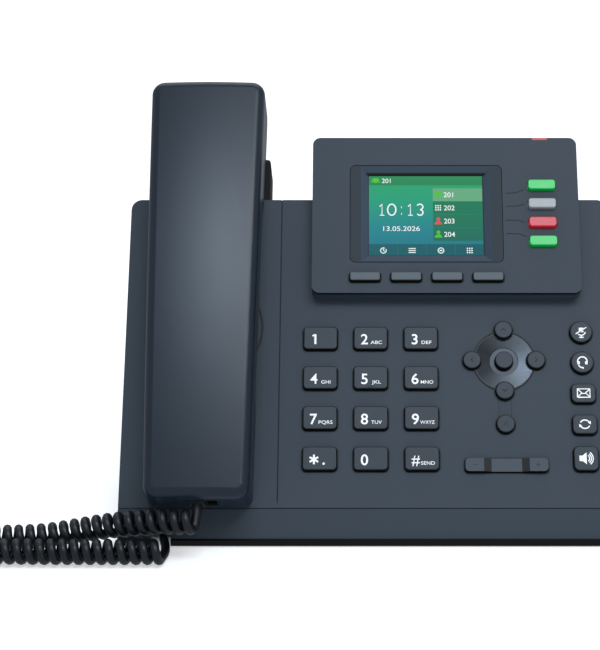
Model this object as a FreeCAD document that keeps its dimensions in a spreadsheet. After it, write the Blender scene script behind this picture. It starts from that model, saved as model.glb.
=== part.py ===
import FreeCAD, Part
import math
import os
import Sketcher
from FreeCAD import Placement, Rotation, Vector

# Desk phone: a sloping case on a clip-on stand, a display head, a keypad and a corded handset.
# The face frame has x to the right, v up the sloping face from the fold line, w out of the face.

SIZES = [
    # case
    ("body_width", 202.0, "case width"),
    ("face_length", 135.0, "fold line to top edge, along the face"),
    ("face_slope", 50.0, "face to the desk, degrees"),
    ("fold_step", 8.0, "front strip is this much steeper, degrees"),
    ("strip_length", 12.13, "front strip below the fold"),
    ("fold_y", -56.63, "fold line, depth place"),
    ("fold_z", 13.19, "fold line, height"),
    ("wall", 2.2, "case wall"),
    ("case_corner", 4.5, "corner radius at the top of the case"),
    ("split_depth", 12.0, "parting plane below the face"),
    ("base_depth", 22.0, "rear plane below the face"),
    ("lower_inset", 0.6, "lower shell stands in from the upper one"),
    ("lip_step", 1.7, "front lip stands out from the strip"),
    ("foot_height", 0.5, "front feet"),
    ("sole_depth", 14.0, "flat sole behind the front edge"),
    ("sole_rise", 20.0, "underside behind the sole, degrees"),
    ("shelf_z", 46.0, "port shelf height"),
    ("panel_depth", 90.0, "port panel behind the front edge"),
    ("groove", 0.5, "width and depth of the face's fine grooves"),
    ("divider_x", -37.05, "groove between handset bay and keypad"),
    ("divider_start", 2.0, "its lower end above the fold"),
    # cradle tower
    ("tower_x", -66.9, "tower centre"),
    ("tower_width", 49.2, "tower width"),
    ("tower_top", 156.6, "tower top along the face"),
    ("tower_drop", 3.7, "tower front below the face plane"),
    ("tower_corner", 3.0, "tower corner radius"),
    # loudspeaker
    ("speaker_x", -65.9, "grille centre"),
    ("speaker_v", 77.0, "grille centre"),
    ("speaker_ring", 21.7, "grille ring radius"),
    ("speaker_radius", 20.0, "loudspeaker frame radius"),
    ("speaker_height", 11.0, "loudspeaker height"),
    ("slot_width", 1.6, "grille slot"),
    ("slot_pitch", 4.6, "grille slot spacing"),
    ("slot_reach", 17.0, "slots end on a circle of this radius"),
    # keys
    ("gap", 0.3, "clearance of a moving piece"),
    ("key_height", 2.0, "key top above the panel"),
    ("key_flange", 0.8, "retaining flange, width and thickness"),
    ("key_stem", 1.0, "stem below the flange"),
    ("stem_radius", 1.4, "stem radius"),
    ("key_travel", 1.2, "keypad key travel"),
    ("head_travel", 1.0, "display key travel"),
    ("key_edge", 0.5, "rounded key edge"),
    ("dial_width", 13.85, "dial key"),
    ("dial_height", 9.65, "dial key"),
    ("dial_corner", 1.6, "dial key corner"),
    ("dial_x", 0.53, "middle column"),
    ("dial_v", 46.15, "middle of the four rows"),
    ("dial_step_x", 20.73, "column spacing"),
    ("dial_step_v", 17.22, "row spacing"),
    ("round_radius", 3.7, "small round keys"),
    ("nav_x", 55.5, "navigation ring centre"),
    ("nav_v", 62.45, "navigation ring centre"),
    ("nav_radius", 13.0, "navigation ring"),
    ("nav_reach", 13.2, "arrow keys from the ring centre"),
    ("nav_depth", 0.8, "ring seat in the face"),
    ("nav_lip", 0.15, "ring rim above the face"),
    ("nav_well", 6.0, "well round the middle key"),
    ("cancel_v", 35.0, "cancel key"),
    ("rocker_v", 17.75, "volume rocker"),
    ("rocker_width", 33.5, "volume rocker"),
    ("rocker_height", 5.45, "volume rocker"),
    ("rocker_tilt", 2.5, "rocker swing each way, degrees"),
    ("rocker_scoop", 18.5, "dished middle of the rocker"),
    ("scoop_depth", 1.0, "dish depth"),
    ("side_inset", 13.35, "right column in from the edge"),
    ("disc_radius", 4.6, "round side keys"),
    ("pill_width", 9.9, "oblong side keys"),
    ("pill_height", 8.0, "oblong side keys"),
    ("square_height", 10.0, "loudspeaker key"),
    ("side_corner", 2.2, "side key corner"),
    ("mute_v", 74.7, "side key places"),
    ("headset_v", 61.4, "side key places"),
    ("message_v", 48.0, "side key places"),
    ("redial_v", 34.7, "side key places"),
    ("hands_free_v", 20.3, "side key places"),
    # display head
    ("head_x", 32.15, "head centre"),
    ("head_v", 125.4, "head centre"),
    ("head_width", 112.2, "head"),
    ("head_height", 70.9, "head"),
    ("head_corner", 3.3, "head corner radius"),
    ("head_front", 7.0, "head face above the case face"),
    ("head_wall", 2.0, "head wall"),
    ("head_back", 9.0, "rear cover below the case face"),
    ("bezel_x", 24.0, "display frame centre"),
    ("bezel_v", 125.78, "display frame centre"),
    ("bezel_width", 64.4, "display frame"),
    ("bezel_height", 44.6, "display frame"),
    ("bezel_corner", 2.6, "display frame corner"),
    ("bezel_gap", 0.25, "groove round the display frame"),
    ("bezel_flange", 1.2, "frame flange behind the head wall"),
    ("screen_width", 48.6, "visible picture"),
    ("screen_height", 36.6, "visible picture"),
    ("screen_slope", 3.2, "sloped band round the picture"),
    ("screen_drop", 2.0, "picture below the head face"),
    ("glass_margin", 2.0, "display module beyond the picture"),
    ("lamp_x", 72.7, "message lamp"),
    ("lamp_width", 6.4, "message lamp"),
    ("lamp_depth", 1.0, "lamp strip seen on the face"),
    ("lamp_height", 4.0, "lamp along the head's edge"),
    ("soft_x", 23.8, "middle of the soft key row"),
    ("soft_v", 96.75, "soft keys"),
    ("soft_step", 17.06, "soft key spacing"),
    ("soft_width", 12.7, "soft key"),
    ("soft_height", 3.8, "soft key"),
    ("soft_corner", 1.0, "soft key corner"),
    ("line_x", 72.8, "line keys"),
    ("line_v", 125.6, "middle of the line key column"),
    ("line_step", 8.53, "line key spacing"),
    ("line_width", 11.6, "line key"),
    ("line_height", 4.45, "line key"),
    ("line_corner", 1.3, "line key corner"),
    # boards and fasteners
    ("sheet_left", -31.0, "keypad board, left edge"),
    ("sheet_v", 46.0, "keypad board centre"),
    ("sheet_inset", 6.0, "keypad board in from the right edge"),
    ("sheet_height", 80.0, "keypad board"),
    ("board", 1.6, "circuit board"),
    ("membrane", 1.0, "rubber sheet"),
    ("dome_height", 0.8, "rubber domes"),
    ("dome_radius", 2.6, "rubber domes"),
    ("post_radius", 2.0, "board posts"),
    ("boss_radius", 4.0, "screw bosses"),
    ("boss_inset", 11.15, "keypad boss in from the right column"),
    ("screw_radius", 1.4, "case screw shank"),
    ("screw_head", 3.0, "case screw head radius"),
    ("screw_head_height", 2.0, "case screw head"),
    ("screw_length", 11.0, "case screw shank"),
    ("bore_depth", 7.0, "counterbore in the lower shell"),
    # handset
    ("hand_x", -67.9, "handset centre"),
    ("hand_low", -1.4, "handset lower end"),
    ("hand_high", 180.0, "handset upper end"),
    ("hand_low_width", 41.7, "width at the lower end"),
    ("hand_high_width", 47.8, "width at the upper end"),
    ("hand_corner", 5.5, "corner radius seen from the front"),
    ("hand_back", 27.5, "crown of the back above the face"),
    ("hand_rise", 3.2, "back falls this much towards the ends"),
    ("hand_crown", 240.0, "radius across the back"),
    ("hand_edge", 4.0, "rounded edge of the back"),
    ("hand_part", 10.0, "parting plane of the handset"),
    ("hand_chin", 4.0, "lower end slopes back below the parting plane"),
    ("grip_under", 8.0, "grip underside above the face"),
    ("mouth_end", 38.0, "mouth cup ends here"),
    ("grip_start", 46.0, "grip begins here"),
    ("grip_end", 124.0, "grip ends here"),
    ("ear_knee", 131.0, "slope above the grip ends here"),
    ("ear_start", 136.2, "ear cup begins here"),
    ("ear_end", 172.0, "ear cup ends here"),
    ("ear_tip", 6.0, "underside of the upper tip"),
    ("hand_wall", 2.5, "handset wall"),
    ("hand_roof", 20.0, "inside of the back"),
    ("ear_v", 155.0, "receiver"),
    ("ear_radius", 14.0, "receiver"),
    ("ear_height", 6.0, "receiver"),
    ("mouth_v", 19.0, "microphone"),
    ("mouth_radius", 4.85, "microphone"),
    ("mouth_height", 5.0, "microphone"),
    # jacks and plugs
    ("sound_hole", 0.9, "sound holes"),
    ("plug_width", 6.4, "cord plug"),
    ("plug_height", 6.2, "cord plug"),
    ("plug_inside", 9.0, "plug inside its jack"),
    ("plug_outside", 0.8, "plug outside its jack"),
    ("jack_wall", 0.6, "cord jack wall"),
    ("jack_depth", 12.0, "cord jack"),
    ("latch_width", 3.9, "latch bay beside the plug"),
    ("jack_w", 14.3, "handset jack above the face"),
    ("base_jack_x", -79.5, "base cord jack"),
    ("base_jack_back", 14.0, "base cord jack in front of the port panel"),
    ("headset_jack_x", -62.0, "headset jack"),
    ("net_x", 24.0, "middle of the network jacks"),
    ("net_step", 22.0, "network jack spacing"),
    ("net_z", 57.0, "network jacks"),
    ("net_width", 15.0, "network jack"),
    ("net_height", 13.0, "network jack"),
    ("net_depth", 15.0, "network jack"),
    ("net_mouth_width", 11.8, "network socket"),
    ("net_mouth_height", 8.2, "network socket"),
    ("net_mouth_depth", 12.5, "network socket"),
    ("power_x", -10.0, "power inlet"),
    ("power_size", 10.0, "power inlet block"),
    ("power_bore", 3.0, "power inlet bore radius"),
    ("power_pin", 1.0, "power inlet pin radius"),
    ("channel_x", -83.4, "cord channel under the lip"),
    ("channel_width", 7.8, "cord channel under the lip"),
    ("channel_top", 4.6, "cord channel height"),
    ("channel_depth", 29.7, "cord channel behind the front edge"),
    # hook switch
    ("hook_v", 146.0, "hook plunger"),
    ("hook_radius", 3.0, "hook plunger"),
    ("hook_travel", 2.5, "hook plunger travel"),
    ("hook_flange", 1.2, "hook plunger flange"),
    ("hook_fit", 0.06, "plunger's running clearance"),
    # stand and feet
    ("stand_width", 120.0, "stand"),
    ("stand_plate", 2.6, "stand plate"),
    ("stand_low", 107.0, "clip plate, lower edge along the face"),
    ("stand_high", 130.0, "clip plate, upper edge along the face"),
    ("stand_back", 137.77, "stand foot behind the front edge"),
    ("stand_foot", 16.0, "stand foot depth"),
    ("stand_tongue", 12.0, "clip tongue width"),
    ("tongue_height", 3.0, "clip tongue height"),
    ("tongue_reach", 3.4, "clip tongue into the case"),
    ("tongue_x", 40.0, "clip tongues from the middle"),
    ("pad_height", 1.2, "stand feet"),
    ("pad_width", 18.0, "rubber feet"),
    ("pad_depth", 9.0, "rubber feet"),
    ("pad_corner", 2.0, "rubber feet corner"),
    ("pad_x", 56.0, "front feet from the middle"),
    ("stand_pad_x", 44.0, "stand feet from the middle"),
    # cord
    ("wire", 3.7, "curly cord wire diameter"),
    ("curl_radius", 3.45, "wire centre from the curl's axis"),
]


class Size:
    """A length with its present number and the spreadsheet formula that it comes from."""

    def __init__(self, number, text):
        self.number = float(number)
        self.text = text

    def __add__(self, other):
        other = size(other)
        return Size(self.number + other.number, f"({self.text} + {other.text})")

    def __sub__(self, other):
        other = size(other)
        return Size(self.number - other.number, f"({self.text} - {other.text})")

    def __mul__(self, other):
        other = size(other)
        return Size(self.number * other.number, f"({self.text} * {other.text})")

    def __truediv__(self, other):
        other = size(other)
        return Size(self.number / other.number, f"({self.text} / {other.text})")

    def __neg__(self):
        return Size(-self.number, f"(0 - {self.text})")

    def __radd__(self, other):
        return size(other) + self

    def __rsub__(self, other):
        return size(other) - self

    __rmul__ = __mul__


def size(value):
    if isinstance(value, Size):
        return value
    return Size(value, f"({value!r})")


def sine(angle):
    return Size(math.sin(math.radians(angle.number)), f"sin({angle.text})")


def cosine(angle):
    return Size(math.cos(math.radians(angle.number)), f"cos({angle.text})")


doc = FreeCAD.newDocument("DeskPhone")
sheet = doc.addObject("Spreadsheet::Sheet", "dims")
for row, (alias, number, meaning) in enumerate(SIZES, start=1):
    sheet.set(f"A{row}", meaning)
    sheet.set(f"B{row}", str(number))
    sheet.setAlias(f"B{row}", alias)
doc.recompute()


class Dims:
    """Every spreadsheet size, by its alias."""

    def __getattr__(self, alias):
        return Size(sheet.get(alias), f"dims.{alias}")


d = Dims()
ACROSS = 400.0  # longer than any cut through the part
ROW = 3  # key openings drawn in one sketch


def world(v, w):
    """A point of the face frame's middle plane, as depth and height."""
    y = d.fold_y + v * cosine(d.face_slope) - w * sine(d.face_slope)
    z = d.fold_z + v * sine(d.face_slope) + w * cosine(d.face_slope)
    return y, z


strip_slope = d.face_slope + d.fold_step
front_y = d.fold_y - d.strip_length * cosine(strip_slope)
lip_z = d.fold_z - d.strip_length * sine(strip_slope)
panel_y = front_y + d.panel_depth
rear_y, rear_z = world(size(0), -d.base_depth)


def set_place(target, path, base, tilt):
    """Bind a Placement or AttachmentOffset to a base point and a turn about X."""
    turn = Rotation(Vector(1, 0, 0), tilt.number)
    setattr(target, path, Placement(Vector(*[s.number for s in base]), turn))
    for axis, s in zip("xyz", base):
        target.setExpression(f"{path}.Base.{axis}", s.text)
    target.setExpression(f"{path}.Rotation.Angle", tilt.text)


def new_body(label, x=None, v=0.0):
    """A body in the desk frame, or in the face frame at x and v."""
    body = doc.addObject("PartDesign::Body", label)
    body.Label = label
    body.AllowCompound = True
    if x is not None:
        y, z = world(size(v), size(0))
        set_place(body, "Placement", (size(x), y, z), d.face_slope)
    return body


def new_sketch(body, plane="XY_Plane", at=(0, 0, 0), tilt=0):
    """A sketch on one of the body's planes, its own origin moved to a place on it."""
    sketch = body.newObject("Sketcher::SketchObject", body.Label + "_sketch")
    support = [f for f in body.Origin.OriginFeatures if f.Role == plane][0]
    sketch.AttachmentSupport = (support, [""])
    sketch.MapMode = "FlatFace"
    set_place(sketch, "AttachmentOffset", [size(s) for s in at], size(tilt))
    return sketch


def face_sketch(body, x, v, w):
    """A sketch parallel to the face, in a body of the desk frame."""
    y, z = world(size(v), size(w))
    return new_sketch(body, at=(x, y, z), tilt=d.face_slope)


def datum(sketch, kind, refs, amount):
    index = sketch.addConstraint(Sketcher.Constraint(kind, *refs, amount.number))
    sketch.setExpression(f"Constraints[{index}]", amount.text)


def polygon(sketch, points):
    points = [(size(a), size(b)) for a, b in points]
    ends = points[1:] + points[:1]
    for (a, b), (c, e) in zip(points, ends):
        start = Vector(a.number, b.number, 0)
        sketch.addGeometry(Part.LineSegment(start, Vector(c.number, e.number, 0)))
    count = len(points)
    for i in range(count):
        sketch.addConstraint(Sketcher.Constraint("Coincident", i, 2, (i + 1) % count, 1))
    for i, (a, b) in enumerate(points):
        datum(sketch, "DistanceX", (-1, 1, i, 1), a)
        datum(sketch, "DistanceY", (-1, 1, i, 1), b)
    return sketch


def rectangle(sketch, width, height):
    half_w = size(width) / 2
    half_h = size(height) / 2
    corners = [(-half_w, -half_h), (half_w, -half_h), (half_w, half_h), (-half_w, half_h)]
    return polygon(sketch, corners)


def centre_point(sketch, x, v):
    """A construction point at a place from the sketch's origin."""
    place = Part.Point(Vector(x.number, v.number, 0))
    index = sketch.addGeometry(place, True)
    datum(sketch, "DistanceX", (-1, 1, index, 1), x)
    datum(sketch, "DistanceY", (-1, 1, index, 1), v)
    return index


def rounded(sketch, width, height, radius, centres=None):
    """Rectangles with four tangent corner arcs, about the sketch's origin or about each centre."""
    width, height, radius = size(width), size(height), size(radius)
    x, y, r = width.number / 2, height.number / 2, radius.number
    line_ends = [
        ((r - x, -y), (x - r, -y)),
        ((x, r - y), (x, y - r)),
        ((x - r, y), (r - x, y)),
        ((-x, y - r), (-x, r - y)),
    ]
    arc_centres = [(x - r, r - y), (x - r, y - r), (r - x, y - r), (r - x, r - y)]
    for centre in centres or [None]:
        middle = (-1, 1)
        shift = Vector(0, 0, 0)
        if centre:
            middle = (centre_point(sketch, *centre), 1)
            shift = Vector(centre[0].number, centre[1].number, 0)
        first = sketch.GeometryCount
        edges = []
        for i in range(4):
            (a, b), (c, e) = line_ends[i]
            edges.append(Part.LineSegment(Vector(a, b, 0) + shift, Vector(c, e, 0) + shift))
            corner = Part.Circle(Vector(*arc_centres[i], 0) + shift, Vector(0, 0, 1), r)
            start = math.pi / 2 * (i - 1)
            edges.append(Part.ArcOfCircle(corner, start, start + math.pi / 2))
        sketch.addGeometry(edges)
        ties = []
        for i in range(8):
            ties.append(Sketcher.Constraint("Tangent", first + i, 2, first + (i + 1) % 8, 1))
        for i, kind in ((0, "Horizontal"), (2, "Vertical"), (4, "Horizontal"), (6, "Vertical")):
            ties.append(Sketcher.Constraint(kind, first + i))
        for i in (3, 5, 7):
            ties.append(Sketcher.Constraint("Equal", first + 1, first + i))
        ties.append(Sketcher.Constraint("Symmetric", first, 1, first + 4, 1, *middle))
        sketch.addConstraint(ties)
        datum(sketch, "Radius", (first + 1,), radius)
        datum(sketch, "DistanceX", (first + 6, 1, first + 2, 1), width)
        datum(sketch, "DistanceY", (first, 1, first + 4, 1), height)
    return sketch


def circle(sketch, radius, centres=None):
    """Circles about the sketch's origin or about each centre."""
    radius = size(radius)
    for centre in centres or [None]:
        middle = (-1, 1)
        shift = Vector(0, 0, 0)
        if centre:
            middle = (centre_point(sketch, *centre), 1)
            shift = Vector(centre[0].number, centre[1].number, 0)
        index = sketch.addGeometry(Part.Circle(shift, Vector(0, 0, 1), radius.number))
        sketch.addConstraint(Sketcher.Constraint("Coincident", index, 3, *middle))
        datum(sketch, "Radius", (index,), radius)
    return sketch


def extrude(kind, body, sketch, length, down=False, both=False):
    feature = body.newObject(f"PartDesign::{kind}", f"{body.Label}_{kind.lower()}")
    feature.Profile = sketch
    length = size(length)
    feature.Length = length.number
    feature.setExpression("Length", length.text)
    if both:
        feature.SideType = "Symmetric"
    feature.Reversed = down if kind == "Pad" else not down
    feature.Refine = kind == "Pad"
    return feature


def pad(body, sketch, length, down=False, both=False):
    return extrude("Pad", body, sketch, length, down, both)


def cut(body, sketch, length, down=True, both=False):
    return extrude("Pocket", body, sketch, length, down, both)


def dress(kind, body, amount, picks):
    """Fillet or chamfer the tip's edges that the test picks."""
    base = body.Tip
    edges = [f"Edge{i}" for i, e in enumerate(base.Shape.Edges, start=1) if picks(e)]
    if not edges:
        raise ValueError(f"{body.Label}: no edge to {kind.lower()}")
    feature = body.newObject(f"PartDesign::{kind}", f"{body.Label}_{kind.lower()}")
    feature.Base = (base, edges)
    amount = size(amount)
    prop = "Radius" if kind == "Fillet" else "Size"
    setattr(feature, prop, amount.number)
    feature.setExpression(prop, amount.text)
    return feature


def hollow(body, thickness, opens):
    """Shell the tip inwards, open at the faces that the test picks."""
    doc.recompute()
    base = body.Tip
    faces = [f"Face{i}" for i, f in enumerate(base.Shape.Faces, start=1) if opens(f)]
    feature = body.newObject("PartDesign::Thickness", f"{body.Label}_shell")
    feature.Base = (base, faces)
    feature.Join = "Intersection"
    feature.Reversed = True
    feature.Value = thickness.number
    feature.setExpression("Value", thickness.text)
    return feature


def near(a, b):
    return abs(a - b) < 1e-3


def in_plane(edge, axis, level):
    return all(near(getattr(p, axis), level) for p in edge.discretize(5))


def along(edge, axis):
    ends = [v.Point for v in edge.Vertexes]
    if len(ends) != 2:
        return False
    way = (ends[1] - ends[0]).normalize()
    return near(abs(getattr(way, axis)), 1.0)


# Key groups: an outline, and the names and places of the keys that have it

def box_outline(width, height, corner):
    def draw(sketch, more, centres=None):
        return rounded(sketch, width + more * 2, height + more * 2, corner + more, centres)

    return draw


def disc_outline(radius):
    def draw(sketch, more, centres=None):
        return circle(sketch, radius + more, centres)

    return draw


dial_places = {}
for r, names in enumerate((("1", "2", "3"), ("4", "5", "6"), ("7", "8", "9"), ("star", "0", "hash"))):
    for c, name in enumerate(names):
        x = d.dial_x + d.dial_step_x * (c - 1)
        dial_places[f"dial_key_{name}"] = (x, d.dial_v + d.dial_step_v * (1.5 - r))
round_places = {"ok_key": (d.nav_x, d.nav_v), "cancel_key": (d.nav_x, d.cancel_v)}
for name, dx, dv in (("up", 0, 1), ("down", 0, -1), ("left", -1, 0), ("right", 1, 0)):
    round_places[f"nav_key_{name}"] = (d.nav_x + d.nav_reach * dx, d.nav_v + d.nav_reach * dv)
side_x = d.body_width / 2 - d.side_inset
disc_places = {"mute_key": (side_x, d.mute_v), "headset_key": (side_x, d.headset_v)}
pill_places = {"message_key": (side_x, d.message_v), "redial_key": (side_x, d.redial_v)}
soft_places = {f"soft_key_{i + 1}": (d.soft_x + d.soft_step * (i - 1.5), d.soft_v) for i in range(4)}
line_places = {f"line_key_{i + 1}": (d.line_x, d.line_v + d.line_step * (1.5 - i)) for i in range(4)}
case_groups = [
    (box_outline(d.dial_width, d.dial_height, d.dial_corner), dial_places),
    (disc_outline(d.round_radius), round_places),
    (disc_outline(d.disc_radius), disc_places),
    (box_outline(d.pill_width, d.pill_height, d.side_corner), pill_places),
    (
        box_outline(d.pill_width, d.square_height, d.side_corner),
        {"hands_free_key": (side_x, d.hands_free_v)},
    ),
]
head_groups = [
    (box_outline(d.soft_width, d.soft_height, d.soft_corner), soft_places),
    (box_outline(d.line_width, d.line_height, d.line_corner), line_places),
]
rocker_outline = box_outline(d.rocker_width, d.rocker_height, d.dial_corner)

flange_top = -d.wall - d.gap
stem_end = flange_top - d.key_flange - d.key_stem
dome_top = stem_end - d.key_travel - d.gap
sheet_top = dome_top - d.dome_height
board_top = sheet_top - d.membrane
sheet_width = d.body_width / 2 - d.sheet_inset - d.sheet_left


def places(*pairs):
    return [(size(x), size(v)) for x, v in pairs]


keypad_boss = [(side_x - d.boss_inset, size(28.0))]
boss_places = places((-88.0, 20.0), (-88.0, 122.0), (85.0, 122.0)) + keypad_boss
post_places = places((-28.0, 10.0), (38.0, 10.0), (-10.0, 82.0), (72.0, 82.0))


# Upper shell: the sloping face with its front strip, open at the back

strip_v = -d.strip_length * cosine(d.fold_step)
strip_w = -d.strip_length * sine(d.fold_step)
split_y, split_z = world(size(0), -d.split_depth)
heel_v = (lip_z - split_z) / sine(d.face_slope)

upper = new_body("upper_shell", 0)
profile = [
    (0, 0),
    (strip_v, strip_w),
    (heel_v, -d.split_depth),
    (d.face_length, -d.split_depth),
    (d.face_length, 0),
]
pad(upper, polygon(new_sketch(upper, "YZ_Plane"), profile), d.body_width, both=True)
doc.recompute()
dress(
    "Fillet",
    upper,
    d.case_corner,
    lambda e: along(e, "z") and near(e.CenterOfMass.y, d.face_length.number),
)
underside = Vector(0, -sine(d.face_slope).number, -cosine(d.face_slope).number)
hollow(
    upper,
    d.wall,
    lambda f: near(f.normalAt(0, 0).z, -1.0) or f.normalAt(0, 0).dot(underside) > 0.999,
)
bosses = circle(new_sketch(upper, at=(0, 0, -d.split_depth)), d.boss_radius, boss_places)
pad(upper, bosses, d.split_depth - d.wall / 2)
pilots = circle(new_sketch(upper, at=(0, 0, -d.split_depth)), d.screw_radius, boss_places)
cut(upper, pilots, d.screw_length - d.base_depth + d.bore_depth + d.split_depth, down=False)
posts = circle(new_sketch(upper, at=(0, 0, sheet_top)), d.post_radius, post_places)
pad(upper, posts, -sheet_top - d.wall / 2)
seat = circle(new_sketch(upper, at=(d.nav_x, d.nav_v, 0)), d.nav_radius)
cut(upper, seat, d.nav_depth)
for outline, group in case_groups:
    spots = list(group.values())
    for i in range(0, len(spots), ROW):
        cut(upper, outline(new_sketch(upper), d.gap, spots[i : i + ROW]), d.wall)
cut(upper, rocker_outline(new_sketch(upper, at=(d.nav_x, d.rocker_v, 0)), d.gap * 1.5), d.wall)
divider_length = d.face_length - d.divider_start
divider = rectangle(
    new_sketch(upper, at=(d.divider_x, d.divider_start + divider_length / 2, 0)), d.groove, divider_length
)
cut(upper, divider, d.groove)
cut(upper, rectangle(new_sketch(upper), d.body_width, d.groove), d.groove)
ring = circle(new_sketch(upper, at=(d.speaker_x, d.speaker_v, 0)), d.speaker_ring)
ring.addGeometry(Part.Circle(Vector(0, 0, 0), Vector(0, 0, 1), d.speaker_ring.number - d.groove.number))
ring.addConstraint(Sketcher.Constraint("Coincident", 1, 3, -1, 1))
datum(ring, "Radius", (1,), d.speaker_ring - d.groove)
cut(upper, ring, d.groove)
for i in range(-3, 4):
    reach = d.slot_reach.number ** 2 - (i * d.slot_pitch.number) ** 2
    slot_length = d.slot_reach * (2 * math.sqrt(reach) / d.slot_reach.number)
    slot = new_sketch(upper, at=(d.speaker_x, d.speaker_v + d.slot_pitch * i, 0))
    cut(upper, rounded(slot, slot_length, d.slot_width, d.slot_width * 0.45), d.wall)
channel_y = front_y - d.lip_step + d.channel_depth / 2


def cut_channel(body, tilt, y, z):
    """The way under the front lip for the handset cord."""
    sketch = new_sketch(body, at=(d.channel_x, y, z), tilt=tilt)
    rectangle(sketch, d.channel_width, d.channel_depth)
    cut(body, sketch, d.channel_top * 2)


def to_face(y, z):
    """A place in depth and height, as v and w of the face frame."""
    dy = y - d.fold_y
    dz = z - d.fold_z
    v = dy * cosine(d.face_slope) + dz * sine(d.face_slope)
    w = dz * cosine(d.face_slope) - dy * sine(d.face_slope)
    return v, w


cut_channel(upper, -d.face_slope, *to_face(channel_y, d.channel_top))

# Lower shell: lip, sole, sloping rear plane with the port shelf, and the cradle tower

sole_y = front_y + d.sole_depth
turn = sine(d.face_slope - d.sole_rise)
reach = (sole_y - rear_y) * sine(d.sole_rise) - (d.foot_height - rear_z) * cosine(d.sole_rise)
knee_v = -reach / turn
shelf_v = (d.shelf_z - rear_z) / sine(d.face_slope)
panel_v = (panel_y - rear_y) / cosine(d.face_slope)

lower = new_body("lower_shell")
profile = [
    (front_y - d.lip_step, lip_z),
    (front_y - d.lip_step, d.foot_height),
    (sole_y, d.foot_height),
    world(knee_v, -d.base_depth),
    world(shelf_v, -d.base_depth),
    (panel_y, d.shelf_z),
    world(panel_v, -d.base_depth),
    world(d.face_length, -d.base_depth),
    world(d.face_length, -d.split_depth),
    world(heel_v, -d.split_depth),
]
lower_width = d.body_width - d.lower_inset * 2
pad(lower, polygon(new_sketch(lower, "YZ_Plane"), profile), lower_width, both=True)
inner_depth = d.base_depth - d.wall
inner_width = lower_width - d.wall * 2
inner_y, inner_z = world(size(0), -inner_depth)
inner_shelf = d.shelf_z + d.wall
inner_panel = panel_y - d.wall
inner_top = d.face_length - d.wall
hollow_start = heel_v + d.base_depth
main_room = [
    world(hollow_start, -inner_depth),
    world(inner_top, -inner_depth),
    world(inner_top, -d.split_depth),
    world(hollow_start - inner_depth + d.split_depth, -d.split_depth),
]
shelf_place = inner_y + (inner_shelf - inner_z) / sine(d.face_slope) * cosine(d.face_slope)
panel_place = inner_z + (inner_panel - inner_y) / cosine(d.face_slope) * sine(d.face_slope)
port_room = [(shelf_place, inner_shelf), (inner_panel, inner_shelf), (inner_panel, panel_place)]
for room in (main_room, port_room):
    cut(lower, polygon(new_sketch(lower, "YZ_Plane"), room), inner_width, both=True)
tower_height = d.tower_top - d.face_length
tower = face_sketch(lower, d.tower_x, d.face_length + tower_height / 2, -d.base_depth)
pad(lower, rectangle(tower, d.tower_width, tower_height), d.base_depth - d.tower_drop)
tower_room = face_sketch(lower, d.tower_x, d.face_length + tower_height / 2 - d.wall * 2, -inner_depth)
rectangle(tower_room, d.tower_width - d.wall * 2, tower_height + d.wall * 2)
cut(lower, tower_room, inner_depth - d.tower_drop - d.wall, down=False)
doc.recompute()
face_way = Vector(0, -sine(d.face_slope).number, cosine(d.face_slope).number)
tower_top_y, tower_top_z = world(d.tower_top, size(0))


def tower_corner(e):
    ends = [v.Point for v in e.Vertexes]
    up = Vector(0, -face_way.z, face_way.y) * -1
    rise = [(p - Vector(0, tower_top_y.number, tower_top_z.number)).dot(up) for p in ends]
    sides = [abs(abs(p.x - d.tower_x.number) - d.tower_width.number / 2) for p in ends]
    return max(abs(r) for r in rise) < 1e-3 and max(sides) < 1e-3 and not near(ends[0].x, -ends[1].x)


dress("Fillet", lower, d.tower_corner, tower_corner)
bosses = circle(face_sketch(lower, 0, 0, -d.base_depth), d.boss_radius, boss_places)
pad(lower, bosses, d.base_depth - d.split_depth)
bores = circle(face_sketch(lower, 0, 0, -d.base_depth), d.screw_head + d.gap, boss_places)
cut(lower, bores, d.bore_depth, down=False)
holes = circle(face_sketch(lower, 0, 0, -d.base_depth), d.screw_radius + d.gap, boss_places)
cut(lower, holes, d.base_depth - d.split_depth, down=False)
cut_channel(lower, 0, channel_y, d.channel_top)
hook_hole = circle(face_sketch(lower, d.tower_x, d.hook_v, -d.tower_drop), d.hook_radius + d.hook_fit)
cut(lower, hook_hole, d.wall)
stand_mid = (d.stand_low + d.stand_high) / 2
for side in (-1, 1):
    slot = face_sketch(lower, d.tongue_x * side, stand_mid, -d.base_depth)
    rectangle(slot, d.stand_tongue + d.gap * 2, d.tongue_height + d.gap * 2)
    cut(lower, slot, d.wall, down=False)
net_places = [d.net_x - d.net_step / 2, d.net_x + d.net_step / 2]
for x in net_places:
    mouth = rectangle(new_sketch(lower, "XZ_Plane", (x, d.net_z, -panel_y)), d.net_width, d.net_height)
    cut(lower, mouth, d.wall, down=False)
mouth = rectangle(new_sketch(lower, "XZ_Plane", (d.power_x, d.net_z, -panel_y)), d.power_size, d.power_size)
cut(lower, mouth, d.wall, down=False)
cord_jack_width = d.plug_width + d.jack_wall * 2 + d.gap
cord_jack_height = d.plug_height + d.jack_wall * 2 + d.gap
cord_jack_y = panel_y - d.base_jack_back
for x in (d.base_jack_x, d.headset_jack_x):
    mouth = rectangle(new_sketch(lower, at=(x, cord_jack_y, d.shelf_z)), cord_jack_width, cord_jack_height)
    cut(lower, mouth, d.wall, down=False)

# Screws, boards, rubber sheet and loudspeaker

screws = new_body("case_screws", 0)
seat_w = d.bore_depth - d.base_depth
heads = circle(new_sketch(screws, at=(0, 0, seat_w)), d.screw_head, boss_places)
pad(screws, heads, d.screw_head_height, down=True)
shanks = circle(new_sketch(screws, at=(0, 0, seat_w)), d.screw_radius, boss_places)
pad(screws, shanks, d.screw_length)


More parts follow.
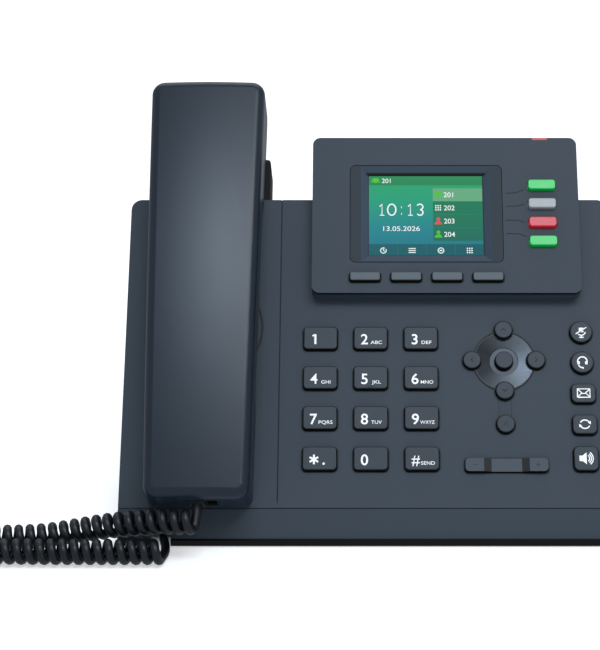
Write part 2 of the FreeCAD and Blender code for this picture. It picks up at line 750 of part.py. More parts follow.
def keypad_layer(label, thickness, down):
    """A sheet behind the keypad, with a hole round the screw boss among the keys."""
    body = new_body(label, 0)
    outline = new_sketch(body, at=(d.sheet_left + sheet_width / 2, d.sheet_v, board_top))
    pad(body, rounded(outline, sheet_width, d.sheet_height, d.case_corner), thickness, down)
    hole = circle(new_sketch(body, at=(0, 0, board_top)), d.boss_radius + d.gap, keypad_boss)
    cut(body, hole, thickness, down)
    return body


rubber = keypad_layer("key_membrane", d.membrane, down=False)
key_places = [place for outline, group in case_groups for place in group.values()]
domes = circle(new_sketch(rubber, at=(0, 0, sheet_top)), d.dome_radius, key_places)
pad(rubber, domes, d.dome_height)
keypad_layer("main_board", d.board, down=True)

speaker = new_body("loudspeaker", d.speaker_x, d.speaker_v)
frame_w = -d.wall
magnet = d.speaker_radius * 0.6
profile = [
    (0, frame_w - d.board),
    (magnet, frame_w - d.board),
    (d.speaker_radius - d.wall, frame_w),
    (d.speaker_radius, frame_w),
    (d.speaker_radius, frame_w - d.wall),
    (magnet, frame_w - d.speaker_height / 2),
    (magnet, frame_w - d.speaker_height),
    (0, frame_w - d.speaker_height),
]


def revolve(body, points):
    sketch = polygon(new_sketch(body, "XZ_Plane"), points)
    feature = body.newObject("PartDesign::Revolution", f"{body.Label}_turn")
    feature.Profile = sketch
    feature.ReferenceAxis = (sketch, ["V_Axis"])
    feature.Angle = 360
    return feature


revolve(speaker, profile)

# Display head: front housing, rear cover, frame, display, lamp and board

head = new_body("head_front", d.head_x, d.head_v)
pad(head, rounded(new_sketch(head), d.head_width, d.head_height, d.head_corner), d.head_front)
room_width = d.head_width - d.head_wall * 2
room_height = d.head_height - d.head_wall * 2
room_corner = d.head_corner - d.head_wall / 2
cavity = rounded(new_sketch(head), room_width, room_height, room_corner)
cut(head, cavity, d.head_front - d.head_wall, down=False)
bezel_at = (d.bezel_x - d.head_x, d.bezel_v - d.head_v, d.head_front)
opening = rounded(new_sketch(head, at=bezel_at), d.bezel_width, d.bezel_height, d.bezel_corner)
cut(head, opening, d.head_wall)
for outline, group in head_groups:
    spots = list(group.values())
    for i in range(0, len(spots), ROW):
        openings = new_sketch(head, at=(-d.head_x, -d.head_v, d.head_front))
        cut(head, outline(openings, d.gap, spots[i : i + ROW]), d.head_wall)
lamp_at = (d.lamp_x - d.head_x, d.head_height / 2, d.head_front)
cut(head, rectangle(new_sketch(head, at=lamp_at), d.lamp_width, d.lamp_depth * 2), d.lamp_height)

lamp = new_body("message_lamp", d.head_x, d.head_v)
lamp_low = (lamp_at[0], d.head_height / 2 - d.lamp_depth / 2, d.head_front)
pad(lamp, rectangle(new_sketch(lamp, at=lamp_low), d.lamp_width, d.lamp_depth), d.lamp_height, down=True)

cover_low = d.face_length + d.gap
cover_height = d.head_v + d.head_height / 2 - cover_low
cover = new_body("head_rear", d.head_x, cover_low + cover_height / 2)
pad(cover, rectangle(new_sketch(cover), d.head_width, cover_height), d.head_back, down=True)
doc.recompute()
dress(
    "Fillet",
    cover,
    d.head_corner,
    lambda e: along(e, "z") and near(e.CenterOfMass.y, cover_height.number / 2),
)
cavity = rectangle(new_sketch(cover), room_width, cover_height - d.head_wall * 2)
cut(cover, cavity, d.head_back - d.head_wall)

bezel_low = d.head_front - d.head_wall
frame = new_body("display_bezel", d.bezel_x, d.bezel_v)
frame_width = d.bezel_width - d.bezel_gap * 2
frame_height = d.bezel_height - d.bezel_gap * 2
back = bezel_low - d.bezel_flange
front = rounded(new_sketch(frame, at=(0, 0, back)), frame_width, frame_height, d.bezel_corner - d.bezel_gap)
pad(frame, front, d.head_wall + d.bezel_flange)
flange_width = d.bezel_width + d.bezel_flange * 2
flange_height = d.bezel_height + d.bezel_flange * 2
flange = rounded(new_sketch(frame, at=(0, 0, back)), flange_width, flange_height, d.bezel_corner)
pad(frame, flange, d.bezel_flange)
screen_level = d.head_front - d.screen_drop
window = rectangle(new_sketch(frame, at=(0, 0, screen_level)), d.screen_width, d.screen_height)
cut(frame, window, ACROSS)
outer = rectangle(
    new_sketch(frame, at=(0, 0, d.head_front)),
    d.screen_width + d.screen_slope * 2,
    d.screen_height + d.screen_slope * 2,
)
inner = rectangle(new_sketch(frame, at=(0, 0, screen_level)), d.screen_width, d.screen_height)
slope = frame.newObject("PartDesign::SubtractiveLoft", "display_bezel_slope")
slope.Profile = outer
slope.Sections = [inner]
slope.Ruled = True

panel = new_body("lcd_panel", d.bezel_x, d.bezel_v)
module_width = d.screen_width + d.glass_margin * 2
module_height = d.screen_height + d.glass_margin * 2
module = rectangle(new_sketch(panel, at=(0, 0, back)), module_width, module_height)
pad(panel, module, d.glass_margin, down=True)
glass = rectangle(new_sketch(panel, at=(0, 0, back)), d.screen_width - d.gap, d.screen_height - d.gap)
pad(panel, glass, screen_level - back - d.gap)

key_board = new_body("head_board", d.head_x, d.head_v)
outline = rounded(new_sketch(key_board), room_width - d.gap * 2, room_height - d.gap * 2, room_corner)
pad(key_board, outline, d.board - d.gap)


# Keys

def key(label, x, v, outline, panel_top, panel_wall, stem):
    """A cap through the panel, a flange behind it and a stem over its switch."""
    body = new_body(label, x, v)
    level = panel_top - panel_wall - d.gap
    cap = pad(body, outline(new_sketch(body, at=(0, 0, level)), size(0)), panel_top + d.key_height - level)
    pad(body, outline(new_sketch(body, at=(0, 0, level)), d.key_flange), d.key_flange, down=True)
    stem_top = level - d.key_flange
    pad(body, circle(new_sketch(body, at=(0, 0, stem_top)), d.stem_radius), stem, down=True)
    top = (panel_top + d.key_height).number
    return body, top


key_tops = []
for outline, group in case_groups:
    key_tops += [key(label, *group[label], outline, size(0), d.wall, d.key_stem) for label in group]
for outline, group in head_groups:
    stem = d.head_front - d.head_wall - d.gap - d.key_flange - d.board - d.head_travel
    key_tops += [key(label, *group[label], outline, d.head_front, d.head_wall, stem) for label in group]
doc.recompute()
for body, top in key_tops:
    dress("Fillet", body, d.key_edge, lambda e: in_plane(e, "z", top))

rocker = new_body("volume_rocker", d.nav_x, d.rocker_v)
rocker_play = d.rocker_width / 2 * sine(d.rocker_tilt)
level = flange_top - rocker_play
pad(rocker, rocker_outline(new_sketch(rocker, at=(0, 0, level)), size(0)), d.key_height - level)
pad(rocker, rocker_outline(new_sketch(rocker, at=(0, 0, level)), d.key_flange), d.key_flange, down=True)
rib_top = level - d.key_flange
stem = circle(new_sketch(rocker, at=(0, 0, rib_top)), d.stem_radius)
pad(rocker, stem, rib_top - sheet_top - d.gap, down=True)
scoop = polygon(
    new_sketch(rocker, "XZ_Plane"),
    [
        (-d.rocker_scoop / 2, d.key_height),
        (-d.rocker_scoop / 3, d.key_height - d.scoop_depth),
        (d.rocker_scoop / 3, d.key_height - d.scoop_depth),
        (d.rocker_scoop / 2, d.key_height),
    ],
)
cut(rocker, scoop, ACROSS, both=True)

dish = new_body("nav_ring", d.nav_x, d.nav_v)
hole = d.round_radius + d.gap
profile = [
    (hole, -d.nav_depth),
    (d.nav_radius, -d.nav_depth),
    (d.nav_radius, d.nav_lip),
    (d.nav_radius - d.nav_depth, d.nav_lip),
    (d.nav_well, d.nav_lip - d.groove),
    (d.nav_well - d.nav_lip, d.nav_lip - d.groove * 1.5),
    (hole, d.nav_lip - d.groove * 1.5),
]
revolve(dish, profile)
for dx, dv in ((0, 1), (0, -1), (-1, 0), (1, 0)):
    notch = new_sketch(dish, at=(d.nav_reach * dx, d.nav_reach * dv, d.nav_lip))
    cut(dish, circle(notch, hole), d.nav_depth + d.nav_lip)

# Jacks behind the panel and in the shelf, and the cord's plug in its jack

sockets = new_body("rear_jacks")
for x in net_places:
    at = (x, d.net_z, -panel_y)
    pad(sockets, rectangle(new_sketch(sockets, "XZ_Plane", at), d.net_width, d.net_height), d.net_depth)
    mouth = rectangle(new_sketch(sockets, "XZ_Plane", at), d.net_mouth_width, d.net_mouth_height)
    cut(sockets, mouth, d.net_mouth_depth, down=False)
at = (d.power_x, d.net_z, -panel_y)
pad(sockets, rectangle(new_sketch(sockets, "XZ_Plane", at), d.power_size, d.power_size), d.net_depth)
bore = circle(new_sketch(sockets, "XZ_Plane", at), d.power_bore)
bore.addGeometry(Part.Circle(Vector(0, 0, 0), Vector(0, 0, 1), d.power_pin.number))
bore.addConstraint(Sketcher.Constraint("Coincident", 1, 3, -1, 1))
datum(bore, "Radius", (1,), d.power_pin)
cut(sockets, bore, d.power_size, down=False)
at = (d.headset_jack_x, cord_jack_y, d.shelf_z)
bay_width = d.plug_width + d.gap
bay_height = d.plug_height + d.gap
pad(sockets, rectangle(new_sketch(sockets, at=at), cord_jack_width, cord_jack_height), d.jack_depth)
bay = rectangle(new_sketch(sockets, at=at), bay_width, bay_height)
cut(sockets, bay, d.plug_inside + d.gap, down=False)

cord_jack = new_body("base_cord_jack")
at = (d.base_jack_x, cord_jack_y, d.shelf_z)
pad(cord_jack, rectangle(new_sketch(cord_jack, at=at), cord_jack_width, cord_jack_height), d.jack_depth)
bay = rectangle(new_sketch(cord_jack, at=at), bay_width, bay_height)
cut(cord_jack, bay, d.plug_inside + d.gap, down=False)

base_plug = new_body("base_plug")
at = (d.base_jack_x, cord_jack_y, d.shelf_z - d.plug_outside)
plug_length = d.plug_inside + d.plug_outside
pad(base_plug, rectangle(new_sketch(base_plug, at=at), d.plug_width, d.plug_height), plug_length)

# Stand and feet

stand_y = front_y + d.stand_back
stand = new_body("stand")
plate_low = world(d.stand_low, -d.base_depth)
plate_high = world(d.stand_high, -d.base_depth)
shin = d.stand_plate * 1.2
profile = [
    plate_low,
    plate_high,
    (stand_y, d.pad_height + d.stand_plate),
    (stand_y, d.pad_height),
    (stand_y - d.stand_foot, d.pad_height),
    (stand_y - d.stand_foot, d.pad_height + d.stand_plate),
    (stand_y - shin, d.pad_height + d.stand_plate),
    (plate_high[0] - shin * 0.4, plate_high[1] - shin * 3),
    (plate_low[0] + shin, plate_low[1] - shin * 0.2),
]
pad(stand, polygon(new_sketch(stand, "YZ_Plane"), profile), d.stand_width, both=True)
for side in (-1, 1):
    tongue = face_sketch(stand, d.tongue_x * side, stand_mid, -d.base_depth)
    pad(stand, rectangle(tongue, d.stand_tongue, d.tongue_height), d.tongue_reach)
    gusset = new_sketch(stand, "YZ_Plane", (0, 0, (d.stand_width / 2 - d.stand_plate / 2) * side))
    corners = [plate_low, plate_high, (stand_y, d.pad_height), (stand_y - d.stand_foot, d.pad_height)]
    pad(stand, polygon(gusset, corners), d.stand_plate, both=True)


def feet(label, spread, y, height):
    body = new_body(label)
    for side in (-1, 1):
        sketch = new_sketch(body, at=(spread * side, y, 0))
        pad(body, rounded(sketch, d.pad_width, d.pad_depth, d.pad_corner), height)


feet("front_feet", d.pad_x, front_y + d.sole_depth / 2, d.foot_height)
feet("stand_feet", d.stand_pad_x, stand_y - d.stand_foot / 2, d.pad_height)

# Hook switch plunger in the cradle tower

hook = new_body("hook_switch", d.tower_x, d.hook_v)
hook_top = -d.tower_drop
hook_flange_top = hook_top - d.wall - d.hook_travel - d.gap
pad(hook, circle(new_sketch(hook, at=(0, 0, hook_flange_top)), d.hook_radius), hook_top - hook_flange_top)
flange = circle(new_sketch(hook, at=(0, 0, hook_flange_top)), d.hook_radius + d.hook_flange)
pad(hook, flange, d.hook_flange, down=True)

# Handset: back and front covers, receiver, microphone, jack and plug

cup_low = d.gap
ear_low = d.gap - d.tower_drop
hand_mid = (d.hand_low + d.hand_high) / 2
back_radius = (hand_mid - d.hand_low) * (hand_mid - d.hand_low) / (d.hand_rise * 2)


def plan(inset):
    """The handset seen from the front, drawn in by an inset."""
    low = d.hand_low_width / 2 - inset
    high = d.hand_high_width / 2 - inset
    return [
        (-low, d.hand_low + inset),
        (low, d.hand_low + inset),
        (high, d.hand_high - inset),
        (-high, d.hand_high - inset),
    ]


def hand_block(label):
    """The whole handset's outer form, which each cover then takes its half of."""
    body = new_body(label, d.hand_x)
    level = ear_low
    pad(body, polygon(new_sketch(body, at=(0, 0, level)), plan(size(0))), d.hand_back - level + d.hand_rise)
    doc.recompute()
    dress("Fillet", body, d.hand_corner, lambda e: along(e, "z"))
    under = [
        (d.hand_low - d.hand_wall, ear_low - d.gap),
        (d.hand_low - d.hand_wall, d.hand_part),
        (d.hand_low, d.hand_part),
        (d.hand_low + d.hand_chin, cup_low),
        (d.mouth_end, cup_low),
        (d.grip_start, d.grip_under),
        (d.grip_end, d.grip_under),
        (d.ear_knee, cup_low),
        (d.ear_start, cup_low),
        (d.ear_start, ear_low),
        (d.ear_end, ear_low),
        (d.hand_high + d.hand_wall, d.ear_tip),
        (d.hand_high + d.hand_wall, ear_low - d.gap),
    ]
    cut(body, polygon(new_sketch(body, "YZ_Plane"), under), ACROSS, both=True)
    return body


back_cover = hand_block("handset_back")
roof_w = d.hand_back + d.hand_rise * 3
axis_w = d.hand_back - back_radius
half_back = d.hand_high_width * 0.75
crown = new_sketch(back_cover, "XZ_Plane", (0, 0, -hand_mid))
middle = Vector(0, (d.hand_back - d.hand_crown).number, 0)
swing = math.asin(half_back.number / d.hand_crown.number)
arc = Part.ArcOfCircle(
    Part.Circle(middle, Vector(0, 0, 1), d.hand_crown.number), math.pi / 2 - swing, math.pi / 2 + swing
)
right, left = arc.StartPoint, arc.EndPoint
top_right = Vector(right.x, roof_w.number, 0)
top_left = Vector(left.x, roof_w.number, 0)
axis_ends = [Vector(sign * half_back.number, axis_w.number, 0) for sign in (-1, 1)]
crown.addGeometry(arc)
crown.addGeometry(Part.LineSegment(left, top_left))
crown.addGeometry(Part.LineSegment(top_left, top_right))
crown.addGeometry(Part.LineSegment(top_right, right))
crown.addGeometry(Part.LineSegment(*axis_ends), True)
for first, second in ((0, 1), (1, 2), (2, 3)):
    crown.addConstraint(Sketcher.Constraint("Coincident", first, 2, second, 1))
crown.addConstraint(Sketcher.Constraint("Coincident", 3, 2, 0, 1))
for line in (1, 3):
    crown.addConstraint(Sketcher.Constraint("Vertical", line))
crown.addConstraint(Sketcher.Constraint("PointOnObject", 0, 3, -2))
crown.addConstraint(Sketcher.Constraint("Symmetric", 2, 1, 2, 2, -2))
crown.addConstraint(Sketcher.Constraint("Symmetric", 4, 1, 4, 2, -2))
datum(crown, "Radius", (0,), d.hand_crown)
datum(crown, "DistanceY", (-1, 1, 0, 3), d.hand_back - d.hand_crown)
datum(crown, "DistanceX", (2, 1, 2, 2), half_back * 2)
datum(crown, "DistanceY", (-1, 1, 2, 1), roof_w)
datum(crown, "DistanceX", (4, 1, 4, 2), half_back * 2)
datum(crown, "DistanceY", (-1, 1, 4, 1), axis_w)
doc.recompute()
groove = back_cover.newObject("PartDesign::Groove", "handset_back_crown")
groove.Profile = crown
groove.ReferenceAxis = (crown, ["Axis0"])
groove.Midplane = True
groove.Angle = 20
doc.recompute()
dress("Fillet", back_cover, d.hand_edge, lambda e: e.CenterOfMass.z > d.hand_roof.number)


def parting(body):
    """A sketch on the parting plane that covers the whole handset."""
    sketch = new_sketch(body, at=(0, hand_mid, d.hand_part))
    return rectangle(sketch, d.hand_high_width * 2, (d.hand_high - d.hand_low) * 2)


cut(back_cover, parting(back_cover), ACROSS)
room = polygon(new_sketch(back_cover, at=(0, 0, d.hand_part)), plan(d.hand_wall))
cut(back_cover, room, d.hand_roof - d.hand_part, down=False)
jack_width = bay_width + d.latch_width + d.jack_wall * 3
jack_height = bay_height + d.jack_wall * 2
jack_at = ((d.latch_width + d.jack_wall) / 2, d.jack_w, -d.hand_low)
mouth = rectangle(new_sketch(back_cover, "XZ_Plane", jack_at), jack_width, jack_height)
cut(back_cover, mouth, d.hand_wall * 1.5)

front_cover = hand_block("handset_front")
cut(front_cover, parting(front_cover), ACROSS, down=False)
cup_width = d.hand_low_width - d.hand_wall * 2
mouth_start = d.hand_low + d.hand_chin + d.hand_wall
mouth_room = d.mouth_end - d.hand_wall - mouth_start
room = new_sketch(front_cover, at=(0, mouth_start + mouth_room / 2, d.hand_part))
cut(front_cover, rounded(room, cup_width, mouth_room, d.hand_wall), d.hand_part - cup_low - d.hand_wall)
ear_room = d.ear_end - d.ear_start - d.hand_wall * 2
room = new_sketch(front_cover, at=(0, d.ear_start + d.hand_wall + ear_room / 2, d.hand_part))
cut(front_cover, rounded(room, cup_width, ear_room, d.hand_wall), d.hand_part - ear_low - d.hand_wall)
ear_holes = [(size(0), size(0))]
for i in range(6):
    turn = math.radians(60 * i)
    ear_holes.append((d.ear_radius * (0.5 * math.cos(turn)), d.ear_radius * (0.5 * math.sin(turn))))
holes = circle(new_sketch(front_cover, at=(0, d.ear_v, ear_low)), d.sound_hole, ear_holes)
cut(front_cover, holes, d.hand_wall, down=False)
mouth_holes = [(d.mouth_radius * (0.5 * i), size(0)) for i in (-1, 0, 1)]
holes = circle(new_sketch(front_cover, at=(0, d.mouth_v, cup_low)), d.sound_hole, mouth_holes)
cut(front_cover, holes, d.hand_wall, down=False)

receiver = new_body("ear_receiver", d.hand_x, d.ear_v)
pad(receiver, circle(new_sketch(receiver, at=(0, 0, ear_low + d.hand_wall)), d.ear_radius), d.ear_height)
capsule = new_body("mouth_microphone", d.hand_x, d.mouth_v)
pad(capsule, circle(new_sketch(capsule, at=(0, 0, cup_low + d.hand_wall)), d.mouth_radius), d.mouth_height)

hand_jack = new_body("handset_jack", d.hand_x)
outline = rectangle(new_sketch(hand_jack, "XZ_Plane", jack_at), jack_width, jack_height)
pad(hand_jack, outline, d.jack_depth, down=True)
plug_at = (0, d.jack_w, -d.hand_low)
bay = rectangle(new_sketch(hand_jack, "XZ_Plane", plug_at), bay_width, bay_height)
cut(hand_jack, bay, d.plug_inside + d.gap)
latch_at = (bay_width / 2 + d.jack_wall + d.latch_width / 2, d.jack_w, -d.hand_low)
bay = rectangle(new_sketch(hand_jack, "XZ_Plane", latch_at), d.latch_width, bay_height)
cut(hand_jack, bay, d.plug_inside)
hand_plug = new_body("handset_plug", d.hand_x)
end_at = (0, d.jack_w, d.plug_outside - d.hand_low)
outline = rectangle(new_sketch(hand_plug, "XZ_Plane", end_at), d.plug_width, d.plug_height)
pad(hand_plug, outline, plug_length, down=True)

# Curly cord from the handset's plug, in a loop beside the phone, back under the lip to the base

CURL_ROUTE = [
    (-68.9, -76.6, 17.0),
    (-80.0, -75.2, 16.5),
    (-92.0, -72.0, 14.3),
    (-104.0, -69.4, 11.7),
    (-116.0, -67.9, 8.7),
    (-128.0, -67.3, 6.2),
    (-140.0, -67.2, 5.45),
    (-150.0, -67.0, 5.45),
    (-160.0, -64.6, 5.45),
    (-172.0, -58.6, 5.45),
    (-187.0, -60.5, 5.45),
    (-192.0, -74.5, 5.45),
    (-186.5, -87.5, 5.45),
    (-171.5, -89.2, 5.45),
    (-158.0, -82.4, 5.45),
    (-146.0, -79.0, 5.45),
    (-130.0, -79.5, 5.45),
    (-112.0, -79.6, 5.45),
    (-98.0, -79.6, 5.45),
    (-82.0, -79.6, 5.45),
]
TAIL_ROUTE = [(-84.6, -53.0, 2.0), (-82.5, -22.0, 2.0), (-79.4, 2.8, 6.5), (-79.5, 12.8, 22.0)]
TAIL_LEAD = 9.0  # straight run where the wire leaves the curls
CURL_PITCH = 4.4  # curls on a straight stretch
FIRST_PHASE = math.radians(130)  # where the wire from the plug meets the first curl
LAST_PHASE = math.radians(180)  # the last curl leaves along the desk
AXIS_STEPS = 60
WIRE_STEPS = 6  # points on each arc where the gap is measured


def smooth_route(points):
    """Points along the quadratic curve that has these control points."""
    points = [Vector(*p) for p in points]
    joints = [points[0]]
    joints += [(a + b) * 0.5 for a, b in zip(points[1:-2], points[2:-1])]
    joints.append(points[-1])
    line = [points[0]]
    for start, middle, end in zip(joints, points[1:-1], joints[1:]):
        for i in range(1, AXIS_STEPS + 1):
            f = i / AXIS_STEPS
            line.append(start * (1 - f) ** 2 + middle * (2 * f * (1 - f)) + end * f**2)
    return line


def unit(vector):
    return Vector(vector) * (1 / vector.Length)


def curl_stations(axis, radius):
    """Wire points with their directions, a quarter turn apart, round the axis."""
    ways = [unit(b - a) for a, b in zip(axis, axis[1:])]
    ways.append(ways[-1])
    steps = [(b - a).Length for a, b in zip(axis, axis[1:])]
    rates = []
    for i, step in enumerate(steps):
        bend = (ways[i + 1] - ways[i]).Length / step
        rates.append(2 * math.pi / CURL_PITCH * (1 - radius * bend))
    phases = [0.0]
    for rate, step in zip(rates, steps):
        phases.append(phases[-1] + rate * step)
    spare = LAST_PHASE - FIRST_PHASE
    turns = math.floor((phases[-1] - spare) / (2 * math.pi))
    swing = turns * 2 * math.pi + spare
    scale = swing / phases[-1]
    quarters = math.ceil(swing / (math.pi / 2))
    wire = []
    k = 0
    for q in range(quarters + 1):
        goal = phases[-1] * q / quarters
        while k < len(phases) - 2 and phases[k + 1] < goal:
            k += 1
        f = (goal - phases[k]) / (phases[k + 1] - phases[k])
        place = axis[k] * (1 - f) + axis[k + 1] * f
        way = unit(ways[k] * (1 - f) + ways[k + 1] * f)
        up = unit(Vector(0, 0, 1) - way * way.z)
        side = way.cross(up)
        turn = FIRST_PHASE + goal * scale
        out = up * math.cos(turn) + side * math.sin(turn)
        round_way = side * math.cos(turn) - up * math.sin(turn)
        wire.append((place + out * radius, unit(round_way * (radius * rates[k] * scale) + way)))
    print("curls", round(swing / (2 * math.pi), 2))
    return wire


def arc_from(start, way, end):
    """The arc that leaves start along way and reaches end."""
    chord = end - start
    along_chord = unit(chord)
    bulge = way - along_chord * way.dot(along_chord)
    if bulge.Length < 1e-6:
        return Part.LineSegment(start, end)
    angle = math.acos(max(-1.0, min(1.0, way.dot(along_chord))))
    middle = start + chord * 0.5 + unit(bulge) * (chord.Length / 2 * math.tan(angle / 2))
    return Part.Arc(start, middle, end)


def biarc(start, way, end, end_way):
    """Two arcs that meet smoothly between two directed points."""
    gap = end - start
    total = way + end_way
    spread = 2 * (1 - way.dot(end_way))
    lean = gap.dot(total)
    if spread < 1e-9:
        reach = gap.dot(gap) / (4 * gap.dot(end_way))
    else:
        reach = (-lean + math.sqrt(lean**2 + spread * gap.dot(gap))) / spread
    joint = (start + end + (way - end_way) * reach) * 0.5
    back = arc_from(end, end_way * -1, joint)
    if isinstance(back, Part.LineSegment):
        second = Part.LineSegment(joint, end)
    else:
        second = Part.Arc(joint, back.value((back.FirstParameter + back.LastParameter) / 2), end)
    return [arc_from(start, way, joint), second]


def rounded_route(points):
    """Straight runs joined by tangent arcs as large as the runs allow."""
    pieces = []
    start = points[0]
    for before, corner, after in zip(points, points[1:], points[2:]):
        come, go = corner - before, after - corner
        half_turn = come.getAngle(go) / 2
        reach = 0.45 * min(come.Length, go.Length)
        print("tail radius", round(reach / math.tan(half_turn), 1))
        enter = corner - unit(come) * reach
        leave = corner + unit(go) * reach
        pieces.append(Part.LineSegment(start, enter))
        pieces.append(arc_from(enter, unit(come), leave))
        start = leave
    pieces.append(Part.LineSegment(start, points[-1]))
    return pieces


def least_gap(points, width):
    """The least distance between stretches of wire that aren't neighbours, less its width."""
    cell = width * 2
    grid = {}
    run = 0.0
    marks = []
    for i, p in enumerate(points):
        run += (p - points[i - 1]).Length if i else 0.0
        marks.append(run)
        grid.setdefault((int(p.x // cell), int(p.y // cell), int(p.z // cell)), []).append(i)
    least = width * 2
    around = [(a, b, c) for a in (-1, 0, 1) for b in (-1, 0, 1) for c in (-1, 0, 1)]
    for (a, b, c), found in grid.items():
        near_by = [j for da, db, dc in around for j in grid.get((a + da, b + db, c + dc), [])]
        for i in found:
            for j in near_by:
                if marks[j] - marks[i] > width * 2.4:
                    least = min(least, (points[i] - points[j]).Length)
    return least - width


hand_exit = Vector(d.hand_x.number, *[s.number for s in world(d.hand_low - d.plug_outside, d.jack_w)])
exit_y, exit_z = world(size(-1.0), size(0))
hand_way = unit(Vector(0, exit_y.number - d.fold_y.number, exit_z.number - d.fold_z.number))
wire_width = d.wire.number
stations = curl_stations(smooth_route(CURL_ROUTE), d.curl_radius.number)
lead_end = hand_exit + hand_way * wire_width
path = [Part.LineSegment(hand_exit, lead_end)]
path += biarc(lead_end, hand_way, *stations[0])
for (start, way), (end, end_way) in zip(stations, stations[1:]):
    path += biarc(start, way, end, end_way)
last, last_way = stations[-1]
base_exit = Vector(d.base_jack_x.number, cord_jack_y.number, (d.shelf_z - d.plug_outside).number)
tail = [last, last + last_way * TAIL_LEAD] + [Vector(*p) for p in TAIL_ROUTE] + [base_exit]
path += rounded_route(tail)
edges = [c.toShape() for c in path]
radii = [e.Curve.Radius for e in edges if e.Curve.TypeId == "Part::GeomCircle"]
print("tightest arc", round(min(radii), 2))
wire_points = [p for e in edges for p in e.discretize(WIRE_STEPS)[:-1]]
length = sum(e.Length for e in edges)
print("wire length", round(length, 1), "least gap", round(least_gap(wire_points, wire_width), 2))
section = Part.Wire(Part.Circle(hand_exit, hand_way, wire_width / 2).toShape())
tube = Part.Wire(edges).makePipeShell([section], True, False)
print("tube volume ratio", round(tube.Volume / (math.pi * wire_width**2 / 4 * length), 4))
cord = doc.addObject("Part::Feature", "curly_cord")
cord.Label = "curly_cord"
cord.Shape = tube

doc.recompute()
for obj in doc.Objects:
    if "Invalid" in obj.State or "Error" in obj.State:
        raise ValueError(f"{obj.Name} failed: {obj.State}")
for body in [o for o in doc.Objects if o.TypeId == "PartDesign::Body"]:
    solids = [f for f in body.Group if hasattr(f, "AddSubShape")]
    for before, after in zip(solids, solids[1:]):
        if near(before.Shape.Volume, after.Shape.Volume):
            raise ValueError(f"{after.Name} changes nothing")
nodes = [o for o in doc.Objects if o.TypeId == "PartDesign::Body"] + [cord]
for node in nodes:
    if node.Shape.isNull() or not node.Shape.isValid():
        raise ValueError(f"{node.Label} has no valid shape")
os.makedirs("parts", exist_ok=True)
for node in nodes:
    node.Shape.exportStep(f"parts/{node.Label}.step")
print(len(nodes), "nodes written")
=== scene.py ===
import math

import bpy
from mathutils import Matrix, Vector


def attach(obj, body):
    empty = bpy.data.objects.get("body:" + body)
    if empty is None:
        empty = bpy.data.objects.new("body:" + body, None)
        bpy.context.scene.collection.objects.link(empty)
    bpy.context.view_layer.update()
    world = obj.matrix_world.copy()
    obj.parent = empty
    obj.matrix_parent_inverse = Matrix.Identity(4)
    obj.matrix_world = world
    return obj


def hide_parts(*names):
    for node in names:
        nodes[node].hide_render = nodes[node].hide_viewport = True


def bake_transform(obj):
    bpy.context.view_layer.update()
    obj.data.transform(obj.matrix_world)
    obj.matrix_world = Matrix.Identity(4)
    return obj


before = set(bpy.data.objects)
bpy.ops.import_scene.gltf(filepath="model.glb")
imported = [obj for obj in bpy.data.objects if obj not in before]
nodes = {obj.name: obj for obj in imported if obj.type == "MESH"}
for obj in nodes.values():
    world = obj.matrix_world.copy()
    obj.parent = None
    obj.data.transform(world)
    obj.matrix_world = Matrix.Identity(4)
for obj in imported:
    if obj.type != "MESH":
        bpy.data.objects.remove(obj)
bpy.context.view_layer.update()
print("frame loaded:", len(nodes), "nodes")

mm = 0.001

# the sloping face: x to the right, v up the face from the seam, w out of it, in mm
face = {"slope": math.radians(50), "foldY": -56.63, "foldZ": 13.19, "softStep": 0.1}
faceNormal = (0, -math.sin(face["slope"]), math.cos(face["slope"]))
faceUpward = (0, math.cos(face["slope"]), math.sin(face["slope"]))


def faceMatrix(x, v, w):
    c, s = math.cos(face["slope"]), math.sin(face["slope"])
    place = Vector((x, face["foldY"] + v * c - w * s, face["foldZ"] + v * s + w * c)) * mm
    return Matrix.Translation(place) @ Matrix.Rotation(face["slope"], 4, "X")


def deselect():
    if bpy.context.object and bpy.context.object.mode != "OBJECT":
        bpy.ops.object.mode_set(mode="OBJECT")
    bpy.ops.object.select_all(action="DESELECT")


def only(piece):
    deselect()
    piece.select_set(True)
    bpy.context.view_layer.objects.active = piece


# a shader socket that takes part in Python expressions
class Signal:
    def __init__(self, finish, socket):
        self.finish = finish
        self.socket = socket

    def mathNode(self, operation, a, b):
        return self.finish.add("ShaderNodeMath", {"operation": operation}, {0: a, 1: b})

    def __add__(self, other):
        return self.mathNode("ADD", self, other)

    def __sub__(self, other):
        return self.mathNode("SUBTRACT", self, other)

    def __rsub__(self, other):
        return self.mathNode("SUBTRACT", other, self)

    def __mul__(self, other):
        return self.mathNode("MULTIPLY", self, other)

    def __truediv__(self, other):
        return self.mathNode("DIVIDE", self, other)

    __radd__ = __add__
    __rmul__ = __mul__


